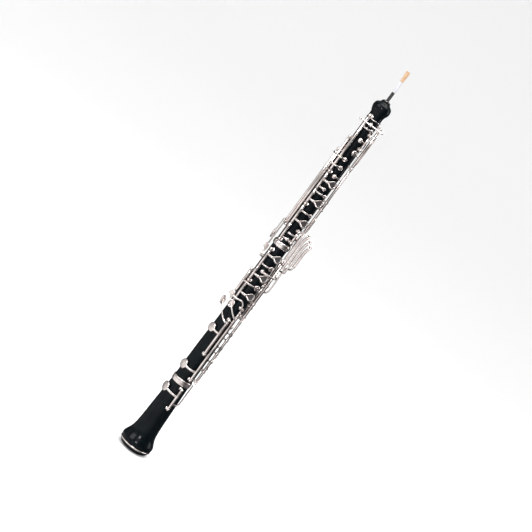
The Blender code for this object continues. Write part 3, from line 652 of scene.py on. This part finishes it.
def oval(half_width, half_length, squareness=1.0):
    """An oval, or a rounded oblong where squareness is under one."""
    def outline(turn):
        c, s = math.cos(turn), math.sin(turn)
        return (math.copysign(abs(c) ** squareness, c) * half_width,
                math.copysign(abs(s) ** squareness, s) * half_length)
    return outline


UP = Vector((0.0, 0.0, 1.0))


FINGER_PLATE_RADIUS = 6.2


def finger_plate(shape, owner, angle, height):
    """The dished plate that a finger closes, over the cup that holds its pad."""
    radius = FINGER_PLATE_RADIUS
    base = wood_radius(height) + CUP_FLOOR
    seats.append((owner, angle, height, radius))
    skirt = [(radius * 0.4, 0.3), (radius - 0.9, 0.3), (radius - 0.7, 0.0),
             (radius - 0.45, 0.05), (radius - 0.4, 1.2), (radius * 0.4, 1.5)]
    turned(shape, skirt, facing_matrix(place(angle, base, height), outward(angle)))
    dished_plate(shape, place(angle, base + 1.25, height), outward(angle), UP,
                 teardrop(radius, 4.8, -1.0), rise=1.05, drop=1.0)


def make_key(name, rod, low, high, shape):
    """Finishes a key: adds its tube, and lets the plated piece ride on the key's own body."""
    tube(shape, rod, low, high)
    piece(f"{name}_plated", shape, silver, name, stands_for=(name,),
          crease=44.0)


# Keys at the head: small closed keys for the octaves and the high vents, each a tube with one
# short arm and a little cup; two of them carry a long flat lever beside the tube.
def side_lever(shape, rod, low, high, width):
    """A long flat lever soldered along the outside of a tube, with rounded ends."""
    angle = RODS[rod][0]
    centre = place(angle, rod_radius(rod) + 2.0, (low + high) / 2)
    dished_plate(shape, centre, outward(angle), UP, oval(width / 2, (high - low) / 2, 0.45),
                 rise=0.75, drop=0.7)


shape = bmesh.new()
arm(shape, "upper_front_rod", 539.0, -19.0, 539.0)
cup(shape, "third_octave_key", -19.0, 539.0, 3.4)
make_key("third_octave_key", "upper_front_rod", 528.0, 551.0, shape)

shape = bmesh.new()
arm(shape, "upper_left_rod", 557.0, 3.0, 557.0)
cup(shape, "top_vent_key", 3.0, 557.0, 2.8)
make_key("top_vent_key", "upper_left_rod", 482.0, 574.0, shape)

shape = bmesh.new()
arm(shape, "upper_right_rod", 518.0, 0.0, 520.0, width=2.6)
cup(shape, "upper_side_key", 0.0, 520.0, 4.2)
side_lever(shape, "upper_right_rod", 508.0, 558.0, 4.0)
make_key("upper_side_key", "upper_right_rod", 500.0, 566.0, shape)

shape = bmesh.new()
arm(shape, "upper_right_rod", 480.0, -18.0, 479.0)
cup(shape, "second_octave_key", -18.0, 479.0, 3.2)
side_lever(shape, "upper_right_rod", 392.5, 418.0, 5.0)
make_key("second_octave_key", "upper_right_rod", 389.0, 500.0, shape)


# Thumb key: the first octave key lies on the back, with a broad curved touch for the left
# thumb and a small cup at the other end of its tube.
def thumb_touch(shape, rod, height):
    """A curved touch that wraps a little way round the back of the body."""
    start = RODS[rod][0]
    lift = wood_radius(height) + ARM_LIFT
    stops = [(start, rod_radius(rod) + 0.2, height), (start + 8.0, lift + 0.4, height),
             (start + 22.0, lift, height), (186.0, lift, height)]
    swept(shape, round_path(stops), 11.8, 1.4, swell=0.9)


shape = bmesh.new()
arm(shape, "thumb_key_rod", 530.0, 112.0, 530.0)
cup(shape, "first_octave_key", 112.0, 530.0, 3.2)
thumb_touch(shape, "thumb_key_rod", 492.0)
make_key("first_octave_key", "thumb_key_rod", 478.0, 545.0, shape)


# Trill keys: two long keys on the left rods.  Their arms step over the other tubes to small
# cups high on the body, and their touches hang down past the middle joint.
def trill_touch(shape, rod, start, angle, height):
    hinge = RODS[rod][0]
    radius = rod_radius(rod) + 4.0
    stops = [(hinge, rod_radius(rod) + 1.4, start), (hinge, radius - 0.4, start - 3.0),
             (hinge + 0.4 * (angle - hinge), radius, start - 12.0),
             ((hinge + angle) / 2, radius, (start + height) / 2 - 3.0), (angle, radius, height)]
    swept(shape, round_path(stops), 2.2, 1.5)
    dished_plate(shape, place(angle, radius - 0.1, height), outward(angle + 22.0), UP,
                 oval(3.7, 6.9, 0.85), rise=0.9, drop=1.6)


shape = bmesh.new()
over_arm(shape, "long_trill_rod", 493.0, -59.0, -18.0, 493.0)
cup(shape, "long_trill_key", -18.0, 493.0, 3.4)
trill_touch(shape, "long_trill_rod", 394.0, -88.0, 346.0)
make_key("long_trill_key", "long_trill_rod", 388.0, 535.0, shape)

shape = bmesh.new()
over_arm(shape, "short_trill_rod", 506.0, -59.0, -27.0, 506.0)
cup(shape, "short_trill_key", -27.0, 506.0, 3.2)
trill_touch(shape, "short_trill_rod", 394.0, -116.0, 366.0)
make_key("short_trill_key", "short_trill_rod", 388.0, 512.0, shape)


# Finger-plate keys: the main stacks for both hands.  Each tube carries a dished teardrop plate
# over the large hole, and some carry a small vent cup that closes with it.
PLATE_ANGLE = 5.0


def plate_arm(shape, rod, height):
    """The short arm from a tube up to the tail of its finger plate."""
    hinge = RODS[rod][0]
    radius = rod_radius(rod)
    stops = [(hinge, radius + 0.3, height), (hinge + 9.0, radius + 1.6, height),
             (hinge + 20.0, radius + 2.6, height), (hinge + 34.0, radius + 2.3, height)]
    swept(shape, round_path(stops), 2.6, 1.6)


PLATE_KEYS = (
    ("half_hole_key", "upper_left_rod", 453.0, 482.0, 468.0, (-22.0, 457.0, 2.6)),
    ("a_key", "upper_left_rod", 427.0, 453.0, 436.0, (10.0, 449.0, 2.8)),
    ("g_key", "upper_left_rod", 395.0, 427.0, 402.0, (10.0, 416.0, 2.8)),
    ("f_sharp_key", "lower_left_rod", 320.5, 349.0, 341.0, (7.0, 325.0, 3.8)),
    ("e_key", "lower_left_rod", 296.0, 320.5, 308.0, None),
    ("d_key", "lower_left_rod", 256.0, 296.0, 276.5, None),
)
for key_name, rod_name, low, high, plate_height, vent in PLATE_KEYS:
    shape = bmesh.new()
    plate_arm(shape, rod_name, plate_height)
    finger_plate(shape, key_name, PLATE_ANGLE, plate_height)
    if vent:
        arm(shape, rod_name, vent[1], vent[0], vent[1])
        cup(shape, key_name, *vent)
    make_key(key_name, rod_name, low, high, shape)


# Helper keys between the stacks: the low vent and the bridge that carries the right hand's
# first key across the middle joint, the G sharp key, the forked F and the left F.
shape = bmesh.new()
arm(shape, "upper_left_rod", 372.0, -22.0, 372.0)
cup(shape, "low_vent_key", -22.0, 372.0, 2.6)
make_key("low_vent_key", "upper_left_rod", 367.5, 395.0, shape)

shape = bmesh.new()
arm(shape, "bridge_rod", 381.0, -42.0, 381.0, width=2.2)
make_key("bridge_key", "bridge_rod", 371.0, 389.0, shape)

shape = bmesh.new()
over_arm(shape, "lower_left_outer_rod", 291.0, -60.0, 6.0, 292.0)
cup(shape, "forked_f_key", 6.0, 292.0, 4.2)
make_key("forked_f_key", "lower_left_outer_rod", 264.0, 310.0, shape)

shape = bmesh.new()
over_arm(shape, "lower_right_back_rod", 316.0, 46.0, -28.0, 316.0, lift=1.5)
cup(shape, "left_f_key", -28.0, 316.0, 2.8)
make_key("left_f_key", "lower_right_back_rod", 296.0, 340.0, shape)


# Left little finger's levers: long flat levers side by side on the right, forged with a raised
# edge, each with a small rounded ear at its head where the finger slides from one to the next.
FACE = outward(-30.0)


def little_lever(shape, across, front, low, high, lean=0.0):
    """One flat lever with a raised edge, whose head leans out to a rounded ear."""
    bend = high - 12.0
    stops = [tuple(beside(across, front, low)), tuple(beside(across, front, bend - 8.0)),
             tuple(beside(across, front, bend)),
             tuple(beside(across + 0.3 * lean, front, bend + 6.0)),
             tuple(beside(across + lean, front, high))]
    section = ((1.0, 0.0), (1.0, 0.7), (0.90, 0.95), (0.76, 0.85), (0.62, 0.45), (0.0, 0.30),
               (-0.62, 0.45), (-0.76, 0.85), (-0.90, 0.95), (-1.0, 0.7), (-1.0, 0.0),
               (-0.9, -0.6), (0.0, -0.8), (0.9, -0.6))
    right = outward(60.0)
    rings = []
    for point in smooth_curve(stops, 7):
        rings.append([shape.verts.new(Vector(point) + (right * x * 2.15 + FACE * y) * MM)
                      for x, y in section])
    for below, above in zip(rings, rings[1:]):
        for i in range(len(section)):
            j = (i + 1) % len(section)
            shape.faces.new((below[i], below[j], above[j], above[i]))
    shape.faces.new(rings[0])
    shape.faces.new(rings[-1])
    tilt = (FACE + right * 0.25 + UP * 0.3).normalized()
    along = (UP - tilt * UP.dot(tilt)).normalized()
    dished_plate(shape, beside(across + lean, front + 0.1, high), tilt, along, oval(2.45, 2.8),
                 rise=0.9, drop=1.4)


def stalk(shape, stops):
    """The bent bar that carries a lever out from its tube and up to its plate."""
    points = [Vector(point) for point in smooth_curve([tuple(stop) for stop in stops], 6)]
    swept(shape, [(point, FACE) for point in points], 2.3, 1.6)


def link_arm(shape, rod, links):
    """Small forged arms on a tube, which press on the arms of the keys beside it."""
    hinge = RODS[rod][0]
    radius = rod_radius(rod)
    for start, angle, rise, height in links:
        stops = [(hinge, radius + 1.2, start), ((hinge + angle) / 2, radius + 2.6, start),
                 (angle, radius + rise, height)]
        swept(shape, round_path(stops), 1.9, 1.4, swell=1.5)


LINKS = {"b_flat_lever": ((137.0, 31.0, 2.6, 130.0), (188.0, 18.0, 3.4, 196.0),
                          (222.0, 20.0, 3.4, 214.0)),
         "b_lever": ((156.0, 22.0, 3.6, 161.0), (176.0, 24.0, 3.6, 170.0),
                     (246.0, 26.0, 3.6, 240.0))}
for key_name, rod_name, low, high, start, across, front, head, lean in (
        ("b_flat_lever", "lower_right_rod", 132.0, 340.0, 333.0, 20.9, 6.6, 391.0, 2.4),
        ("b_lever", "lower_right_outer_rod", 150.0, 340.0, 328.0, 26.0, 4.6, 385.0, 3.0)):
    shape = bmesh.new()
    link_arm(shape, rod_name, LINKS[key_name])
    first = place(RODS[rod_name][0], rod_radius(rod_name) + 0.3, start)
    knee = beside(across, front, start + 2.0)
    stalk(shape, [first, first.lerp(knee, 0.6), knee, knee + UP * 0.004,
                  beside(across, front, 347.0)])
    little_lever(shape, across, front, 343.0, head, lean)
    make_key(key_name, rod_name, low, high, shape)

shape = bmesh.new()
stops = [place(93.0, rod_radius("lower_right_back_rod") + 0.2, 290.0),
         beside(23.4, -7.5, 294.0), beside(23.4, -7.5, 331.0), beside(27.5, -3.0, 336.5),
         beside(30.8, 1.6, 340.0), beside(31.4, 2.6, 347.0)]
stalk(shape, stops)
little_lever(shape, 31.4, 2.6, 344.0, 379.0, 2.6)
make_key("e_flat_lever", "lower_right_back_rod", 240.0, 296.0, shape)

shape = bmesh.new()
arm(shape, "upper_right_rod", 378.0, 30.0, 378.0)
cup(shape, "g_sharp_key", 30.0, 378.0, 2.9)
hinge_side = place(54.0, rod_radius("upper_right_rod") + 0.2, 376.0)
plate_side = beside(15.9, 8.4, 376.0)
stalk(shape, [hinge_side, hinge_side.lerp(plate_side, 0.5) + outward(20.0) * 0.6 * MM,
              plate_side])
little_lever(shape, 15.9, 8.6, 346.0, 388.0)
make_key("g_sharp_key", "upper_right_rod", 367.5, 389.0, shape)


# Low keys: wide domed cups for the large holes near the foot, and the right little finger's
# three touches, which ride on arms that reach over the other rods.
def little_touch(shape, rod, start, angle, height, size, shoulder):
    """An arm up and over to a dished touch for the right little finger."""
    hinge = RODS[rod][0]
    radius = rod_radius(rod) + 4.4
    stops = [(hinge, rod_radius(rod) + 1.2, start), (hinge - 5.0, radius, start + 1.2),
             (hinge - 22.0, radius + 0.1, shoulder),
             ((hinge - 22.0 + angle) / 2, radius + 0.2, (shoulder + height) / 2),
             (angle, radius, height)]
    swept(shape, round_path(stops), 2.0, 1.5)
    dished_plate(shape, place(angle, radius - 0.1, height), outward(angle + 14.0), UP,
                 oval(size, size * 1.28, 0.8), rise=0.9, drop=1.6)


shape = bmesh.new()
arm(shape, "front_left_rod", 210.0, -75.0, 211.0, width=2.9)
cup(shape, "c_key", -75.0, 211.0, 6.8)
little_touch(shape, "front_left_rod", 228.0, -97.0, 251.0, 5.3, 232.0)
make_key("c_key", "front_left_rod", 174.5, 234.0, shape)

shape = bmesh.new()
arm(shape, "front_rod", 226.0, 24.0, 226.0)
cup(shape, "c_sharp_key", 24.0, 226.0, 3.2)
little_touch(shape, "front_rod", 238.0, -52.0, 256.0, 4.4, 244.0)
make_key("c_sharp_key", "front_rod", 191.0, 240.0, shape)

shape = bmesh.new()
arm(shape, "front_rod", 245.5, 24.0, 245.5)
cup(shape, "e_flat_key", 24.0, 245.5, 3.2)
little_touch(shape, "front_rod", 252.5, -74.0, 266.0, 4.7, 266.5)
make_key("e_flat_key", "front_rod", 240.0, 256.0, shape)

shape = bmesh.new()
arm(shape, "front_rod", 145.0, -79.0, 145.5, width=2.9)
cup(shape, "low_b_key", -79.0, 145.5, 7.2)
make_key("low_b_key", "front_rod", 132.0, 191.0, shape)

shape = bmesh.new()
arm(shape, "bell_rod", 102.0, -86.0, 104.0, width=2.9)
cup(shape, "low_b_flat_key", -86.0, 104.0, 7.4)
reach = rod_radius("bell_rod")
stops = [(-5.0, reach, 90.0), (10.0, reach + 0.3, 90.0), (18.0, reach + 0.2, 90.5),
         (23.0, reach + 0.6, 94.0), (24.0, reach + 0.8, 98.0), (24.0, reach + 0.8, 128.0)]
swept(shape, round_path(stops), 2.1, 1.5)
make_key("low_b_flat_key", "bell_rod", 80.5, 114.0, shape)


# Pads and tone holes: under each cup a thin pad of cork or skin on card, glued in with shellac;
# in the wood below, a turned seat round the bored hole, left a little proud and polished.
def make_pad_skin():
    """Pale skin over a pad, drawn tight, a little yellowed, with faint folds."""
    material, tree, shader = nodes_of("pad_skin")
    marks = add_handling(tree, shader, 300.0, 0.45, 0.7, 0.12)
    ramp = colour_ramp(tree, ((0.35, (0.80, 0.74, 0.62, 1.0)), (0.75, (0.62, 0.52, 0.38, 1.0))))
    tree.links.new(marks.outputs["Haze"], ramp.inputs["Fac"])
    tree.links.new(ramp.outputs["Color"], shader.inputs["Base Color"])
    return material


pad_skin = make_pad_skin()


STANDS_OPEN = ("half_hole_key", "a_key", "g_key", "low_vent_key", "f_sharp_key", "e_key",
               "d_key", "c_key", "low_b_key", "low_b_flat_key")


def make_pad(number, owner, angle, height, radius):
    """One pad: a closed key's rests on its seat, and one that stands open shows less of it."""
    shape = bmesh.new()
    thickness = 0.65 if owner in STANDS_OPEN else 1.98
    rim = radius - 0.55
    profile = [(0.05, 0.0), (rim - 0.5, 0.0), (rim - 0.12, 0.12), (rim, 0.45),
               (rim, thickness), (0.05, thickness)]
    base = wood_radius(height) + CUP_FLOOR + 0.45 - thickness
    turned(shape, profile, facing_matrix(place(angle, base, height), outward(angle)))
    piece(f"{owner}_pad_{number}", shape, pad_skin, owner)


def make_seat(number, owner, angle, height, radius):
    """A turned seat of wood round a tone hole, with the hole sunk in it."""
    shape = bmesh.new()
    hole = radius * 0.42
    rise = 0.28
    profile = [(hole, -0.6), (hole, rise - 0.1), (hole + 0.12, rise), (hole + 0.75, rise),
               (hole + 1.05, 0.1), (hole + 1.15, -0.6)]
    base = wood_radius(height)
    turned(shape, profile, facing_matrix(place(angle, base, height), outward(angle)),
           segments=28, closed=True)
    piece(f"{owner}_seat_{number}", shape, blackwood)


for number, (owner, angle, height, radius) in enumerate(seats, 1):
    make_pad(number, owner, angle, height, radius)
    make_seat(number, owner, angle, height, radius)


# Thumb rest: a cast hook, filed and plated, on a curved plate held by two small screws; the
# right thumb carries the oboe's weight on it, so its saddle is the most rubbed place of all.
rubbed_silver = make_silver("rubbed_silver", (0.84, 0.80, 0.76, 1.0), (0.58, 0.50, 0.43, 1.0),
                            0.24, 0.42)


def make_thumb_rest():
    low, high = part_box("thumb_rest")
    middle = (low[2] + high[2]) / 2 / MM
    half = (high[2] - low[2]) / 2 / MM
    radius = wood_radius(middle) + 1.15
    reach = high[1] / MM
    shape = bmesh.new()
    path = [(place(180.0 + turn, radius, middle), outward(180.0 + turn))
            for turn in range(-24, 25, 4)]
    swept(shape, path, 2 * half - 0.2, 1.1, swell=0.82)
    back = outward(180.0)
    saddle = [(0.6, 0.0), (4.0, 0.0), (8.0, -0.5), (11.0, 0.0), (reach - radius - 0.9, 1.6)]
    path = []
    for forward, lift in smooth_curve(saddle, 5):
        point = place(180.0, radius + forward, middle - 3.2 + lift)
        path.append((point, (UP - back * 0.12 * lift).normalized()))
    swept(shape, path, 12.2, 2.1, swell=1.04, ends=0.9)
    piece("thumb_rest_hook", shape, rubbed_silver, stands_for=("thumb_rest",))
    for name, lift in (("upper", 8.6), ("lower", -9.2)):
        shape = bmesh.new()
        head = half_ball(1.6, 18.0, 86.0, 6)
        profile = [(1.5, 0.0), (1.55, 0.35)] + [(r, z - 0.1) for r, z in head]
        matrix = facing_matrix(place(180.0, radius + 0.45, middle + lift), back)
        turned(shape, profile, matrix, segments=24)
        piece(f"thumb_rest_{name}_screw", shape, steel)


make_thumb_rest()


# Reed: cane folded over a metal tube, scraped thin at the tip, cut in two blades and bound with
# thread; the tube's foot is wrapped in cork that pushes into the metal-lined well.
def make_cane():
    """Cane: straw yellow with fine fibres along it, browner where the bark was left."""
    material, tree, shader = nodes_of("cane")
    where = tree.nodes.new("ShaderNodeTexCoord")
    stretch = tree.nodes.new("ShaderNodeMapping")
    stretch.inputs["Scale"].default_value = (1.0, 1.0, 0.04)
    tree.links.new(where.outputs["Object"], stretch.inputs["Vector"])
    fibre = add_node(tree, "ShaderNodeTexNoise", Scale=1800.0, Detail=5.0)
    tree.links.new(stretch.outputs["Vector"], fibre.inputs["Vector"])
    ramp = colour_ramp(tree, ((0.30, (0.36, 0.20, 0.11, 1.0)), (0.52, (0.55, 0.36, 0.22, 1.0)),
                              (0.75, (0.68, 0.50, 0.35, 1.0))))
    tree.links.new(fibre.outputs["Fac"], ramp.inputs["Fac"])
    tree.links.new(ramp.outputs["Color"], shader.inputs["Base Color"])
    marks = add_handling(tree, shader, 150.0, 0.42, 0.62, 0.15)
    ridges = add_node(tree, "ShaderNodeBump", Strength=0.35, Distance=0.0001)
    tree.links.new(fibre.outputs["Fac"], ridges.inputs["Height"])
    tree.links.new(marks.outputs["Normal"], ridges.inputs["Normal"])
    tree.links.new(ridges.outputs["Normal"], shader.inputs["Normal"])
    return material


THREAD_PITCH = 0.42


def make_thread():
    """Waxed white thread, wound close, with a furrow between each turn and the next, painted grey
    as painted shade.
    """
    material, tree, shader = nodes_of("thread")
    where = tree.nodes.new("ShaderNodeTexCoord")
    split = tree.nodes.new("ShaderNodeSeparateXYZ")
    tree.links.new(where.outputs["Object"], split.inputs["Vector"])
    wave = tree.nodes.new("ShaderNodeMath")
    wave.operation = "SINE"
    turns = tree.nodes.new("ShaderNodeMath")
    turns.operation = "MULTIPLY"
    turns.inputs[1].default_value = 2 * math.pi / (THREAD_PITCH * MM)
    tree.links.new(split.outputs["Z"], turns.inputs[0])
    tree.links.new(turns.outputs["Value"], wave.inputs[0])
    # Painted shade: the ramp greys the white thread down in the furrow between turns, where the
    # bump sinks.
    ramp = colour_ramp(tree, ((0.0, (0.36, 0.35, 0.40, 1.0)), (0.5, (0.74, 0.73, 0.76, 1.0))))
    lift = tree.nodes.new("ShaderNodeMapRange")
    lift.inputs["From Min"].default_value = -1.0
    tree.links.new(wave.outputs["Value"], lift.inputs["Value"])
    tree.links.new(lift.outputs["Result"], ramp.inputs["Fac"])
    tree.links.new(ramp.outputs["Color"], shader.inputs["Base Color"])
    marks = add_handling(tree, shader, 400.0, 0.55, 0.8, 0.3)
    furrows = add_node(tree, "ShaderNodeBump", Strength=0.6, Distance=0.0002)
    tree.links.new(lift.outputs["Result"], furrows.inputs["Height"])
    tree.links.new(marks.outputs["Normal"], furrows.inputs["Normal"])
    tree.links.new(furrows.outputs["Normal"], shader.inputs["Normal"])
    return material


cane = make_cane()
thread = make_thread()
black_cork = make_cork("black_cork", (0.035, 0.032, 0.030, 1.0), (0.010, 0.009, 0.009, 1.0))
REED = "reed"


def make_well_tube():
    low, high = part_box("reed_well_tube")
    top = high[2] / MM
    edge = high[0] / MM
    shape = bmesh.new()
    profile = [(2.6, top), (edge - 0.5, top), (edge, top - 0.2), (edge, top - 0.6),
               (edge - 0.25, top - 0.8), (3.2, top - 0.8), (3.2, low[2] / MM),
               (2.6, low[2] / MM)]
    turned(shape, profile, segments=64, closed=True)
    piece("reed_well_lining", shape, silver, stands_for=("reed_well_tube",))


def make_reed_foot():
    low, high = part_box("reed_cork")
    foot, top = low[2] / MM, high[2] / MM
    shape = bmesh.new()
    turned(shape, [(1.5, top), (2.05, top), (2.2, top - 0.3), (2.28, top - 1.2),
                   (2.3, foot + 6.0), (2.24, foot + 0.8), (2.05, foot), (1.5, foot)],
           segments=48, closed=True)
    piece("reed_cork_wrap", shape, black_cork, REED, ("reed_cork",))
    low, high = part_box("reed_staple")
    shape = bmesh.new()
    turned(shape, [(0.8, high[2] / MM), (1.2, high[2] / MM), (1.2, low[2] / MM + 0.3),
                   (1.1, low[2] / MM), (0.8, low[2] / MM)], segments=32, closed=True)
    piece("reed_staple_tube", shape, steel, REED, ("reed_staple",))


def make_binding():
    """The thread: close turns, full in the middle and drawn in at both ends."""
    low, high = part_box("reed_thread")
    foot, top = low[2] / MM, high[2] / MM
    profile = [(1.5, top), (1.5, foot)]
    count = int((top - foot) / THREAD_PITCH)
    for turn in range(count):
        for part, bump in ((0.0, -0.11), (0.3, 0.0), (0.7, 0.0)):
            share = (turn + part) / count
            height = foot + share * (top - foot)
            ends = min(1.0, share * 9.0, (1.0 - share) * 9.0)
            profile.append((2.25 + 0.33 * math.sqrt(ends) + bump, height))
    profile.append((2.1, top))
    shape = bmesh.new()
    turned(shape, profile, segments=40, closed=True)
    piece("reed_binding", shape, thread, REED, ("reed_thread",))


def make_blade(name, node, side):
    """A slip of cane: curved across, thick at the heart and scraped away to a fine tip."""
    low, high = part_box(node)
    foot, top = low[2] / MM, high[2] / MM
    rows, columns = 22, 17
    shape = bmesh.new()
    grid = {}
    for row in range(rows):
        share = row / (rows - 1)
        half = 2.47 + 1.03 * share ** 0.8
        bulge = 1.65 * (1.0 - share) + 0.3
        tip = max(0.0, (share - 0.8) / 0.2)
        for column in range(columns):
            across = -1.0 + 2.0 * column / (columns - 1)
            heart = 0.16 * (1.0 - across ** 2)
            thick = 0.16 + 0.40 * (1.0 - share) + heart * (1.0 - tip) - 0.06 * tip
            inner = 0.08 + bulge * (1.0 - across ** 2)
            outer = min(inner + thick, abs(low[1] if side < 0 else high[1]) / MM)
            height = foot + share * (top - foot)
            height -= 0.35 * abs(across) ** 6 * (1.0 if row == rows - 1 else 0.0)
            for layer, depth in enumerate((inner, outer)):
                point = Vector((across * half, side * depth, height)) * MM
                grid[row, column, layer] = shape.verts.new(point)
    for row in range(rows - 1):
        for column in range(columns - 1):
            for layer in (0, 1):
                shape.faces.new((grid[row, column, layer], grid[row, column + 1, layer],
                                 grid[row + 1, column + 1, layer], grid[row + 1, column, layer]))
        for column in (0, columns - 1):
            shape.faces.new((grid[row, column, 0], grid[row + 1, column, 0],
                             grid[row + 1, column, 1], grid[row, column, 1]))
    for row in (0, rows - 1):
        for column in range(columns - 1):
            shape.faces.new((grid[row, column, 0], grid[row, column + 1, 0],
                             grid[row, column + 1, 1], grid[row, column, 1]))
    piece(name, shape, cane, REED, (node,))


make_well_tube()
make_reed_foot()
make_binding()
make_blade("reed_front_blade", "reed_blade_front", -1.0)
make_blade("reed_back_blade", "reed_blade_back", 1.0)


# Floor, light and camera: a pale studio sweep that rises gently all round, a large soft lamp
# overhead, one at each side and a small one in front, and the camera a little above the middle
# of the oboe.  In reflections the sweep shows a painted colour instead of its pale one. This
# painted reflection is bright towards the front left and dark behind and to the right, so it
# paints lit and shaded sides on the polished metal.
FLOOR_COLOUR = (0.93, 0.93, 0.93, 1.0)
# Colours the floor shows to glossy rays only: a painted reflection, lit towards the front left
# and in painted shade behind and to the right.
FLOOR_PAINTED_REFLECTION_LIT = (0.56, 0.55, 0.55, 1.0)
FLOOR_PAINTED_REFLECTION_SHADE = (0.05, 0.05, 0.055, 1.0)


def make_floor():
    shape = bmesh.new()
    segments = 96
    sweep = [(1500.0, 0.0), (2600.0, 60.0), (3600.0, 500.0), (4300.0, 1500.0),
             (4600.0, 3200.0)]
    rings = []
    for radius, height in smooth_curve(sweep, 6):
        ring = []
        for step in range(segments):
            turn = 2 * math.pi * step / segments
            ring.append(shape.verts.new(Vector((radius * math.cos(turn),
                                                radius * math.sin(turn), height)) * MM))
        rings.append(ring)
    shape.faces.new(rings[0])
    for low_ring, high_ring in zip(rings, rings[1:]):
        for i in range(segments):
            j = (i + 1) % segments
            shape.faces.new((low_ring[i], high_ring[i], high_ring[j], low_ring[j]))
    mesh = bpy.data.meshes.new("studio_floor")
    shape.to_mesh(mesh)
    shape.free()
    mesh.shade_smooth()
    floor = bpy.data.objects.new("studio_floor", mesh)
    bpy.context.collection.objects.link(floor)
    material, tree, shader = nodes_of("pale_floor")
    where = tree.nodes.new("ShaderNodeTexCoord")
    unit = tree.nodes.new("ShaderNodeVectorMath")
    unit.operation = "NORMALIZE"
    tree.links.new(where.outputs["Object"], unit.inputs[0])
    facing = tree.nodes.new("ShaderNodeVectorMath")
    facing.operation = "DOT_PRODUCT"
    facing.inputs[1].default_value = outward(-72.0)
    tree.links.new(unit.outputs["Vector"], facing.inputs[0])
    # Painted reflection and shade: by direction from the middle of the floor, the ramp runs from
    # dark behind and to the right to bright at the front left.
    ramp = colour_ramp(tree, ((0.05, FLOOR_PAINTED_REFLECTION_SHADE), (0.75, FLOOR_PAINTED_REFLECTION_LIT)))
    tree.links.new(facing.outputs["Value"], ramp.inputs["Fac"])
    # Only glossy rays see the painted reflection colours. The camera and diffuse light see the
    # even pale floor.
    rays = tree.nodes.new("ShaderNodeLightPath")
    mix = tree.nodes.new("ShaderNodeMix")
    mix.data_type = "RGBA"
    mix.inputs["A"].default_value = FLOOR_COLOUR
    tree.links.new(rays.outputs["Is Glossy Ray"], mix.inputs["Factor"])
    tree.links.new(ramp.outputs["Color"], mix.inputs["B"])
    tree.links.new(mix.outputs["Result"], shader.inputs["Base Color"])
    shader.inputs["Roughness"].default_value = 0.9
    mesh.materials.append(material)


def add_lamp(name, azimuth, height, distance, width, tall, power, aim=0.32):
    lamp = bpy.data.lights.new(name, "AREA")
    lamp.shape = "RECTANGLE"
    lamp.size = width
    lamp.size_y = tall
    lamp.energy = power
    thing = bpy.data.objects.new(name, lamp)
    thing.visible_camera = False
    bpy.context.collection.objects.link(thing)
    turn = math.radians(azimuth)
    spot = Vector((distance * math.sin(turn), -distance * math.cos(turn), height))
    thing.location = spot
    thing.rotation_euler = (Vector((0.0, 0.0, aim)) - spot).to_track_quat("-Z", "Y").to_euler()


def add_camera():
    azimuth, elevation, distance = math.radians(-30.0), math.radians(10.5), 2.2
    target = Vector((0.0, 0.0, 0.3227))
    away = Vector((math.sin(azimuth) * math.cos(elevation),
                   -math.cos(azimuth) * math.cos(elevation), math.sin(elevation)))
    right = (-away).cross(UP).normalized()
    above = right.cross(-away)
    roll = math.radians(36.35)
    camera_up = above * math.cos(roll) - right * math.sin(roll)
    camera_right = right * math.cos(roll) + above * math.sin(roll)
    lens = bpy.data.cameras.new("camera")
    lens.lens = 108.4
    lens.sensor_width = 36.0
    lens.clip_end = 50.0
    camera = bpy.data.objects.new("camera", lens)
    bpy.context.collection.objects.link(camera)
    basis = Matrix((camera_right, camera_up, away)).transposed().to_4x4()
    camera.matrix_world = Matrix.Translation(target + away * distance) @ basis
    bpy.context.scene.camera = camera


make_floor()
add_lamp("overhead_lamp", 0.0, 3.0, 0.3, 2.6, 2.6, 92.0)
add_lamp("key_lamp", -80.0, 1.2, 1.7, 1.0, 1.0, 14.0)
add_lamp("spot_lamp", -31.0, 0.95, 2.1, 0.42, 0.42, 14.0, 0.02)
add_lamp("edge_lamp", 75.0, 0.9, 1.7, 0.8, 1.2, 7.0)
world = bpy.data.worlds.new("studio")
bpy.context.scene.world = world
world.use_nodes = True
world.node_tree.nodes["Background"].inputs["Color"].default_value = (1.0, 1.0, 1.0, 1.0)
world.node_tree.nodes["Background"].inputs["Strength"].default_value = 0.5
add_camera()
bpy.context.scene.view_settings.view_transform = "Standard"
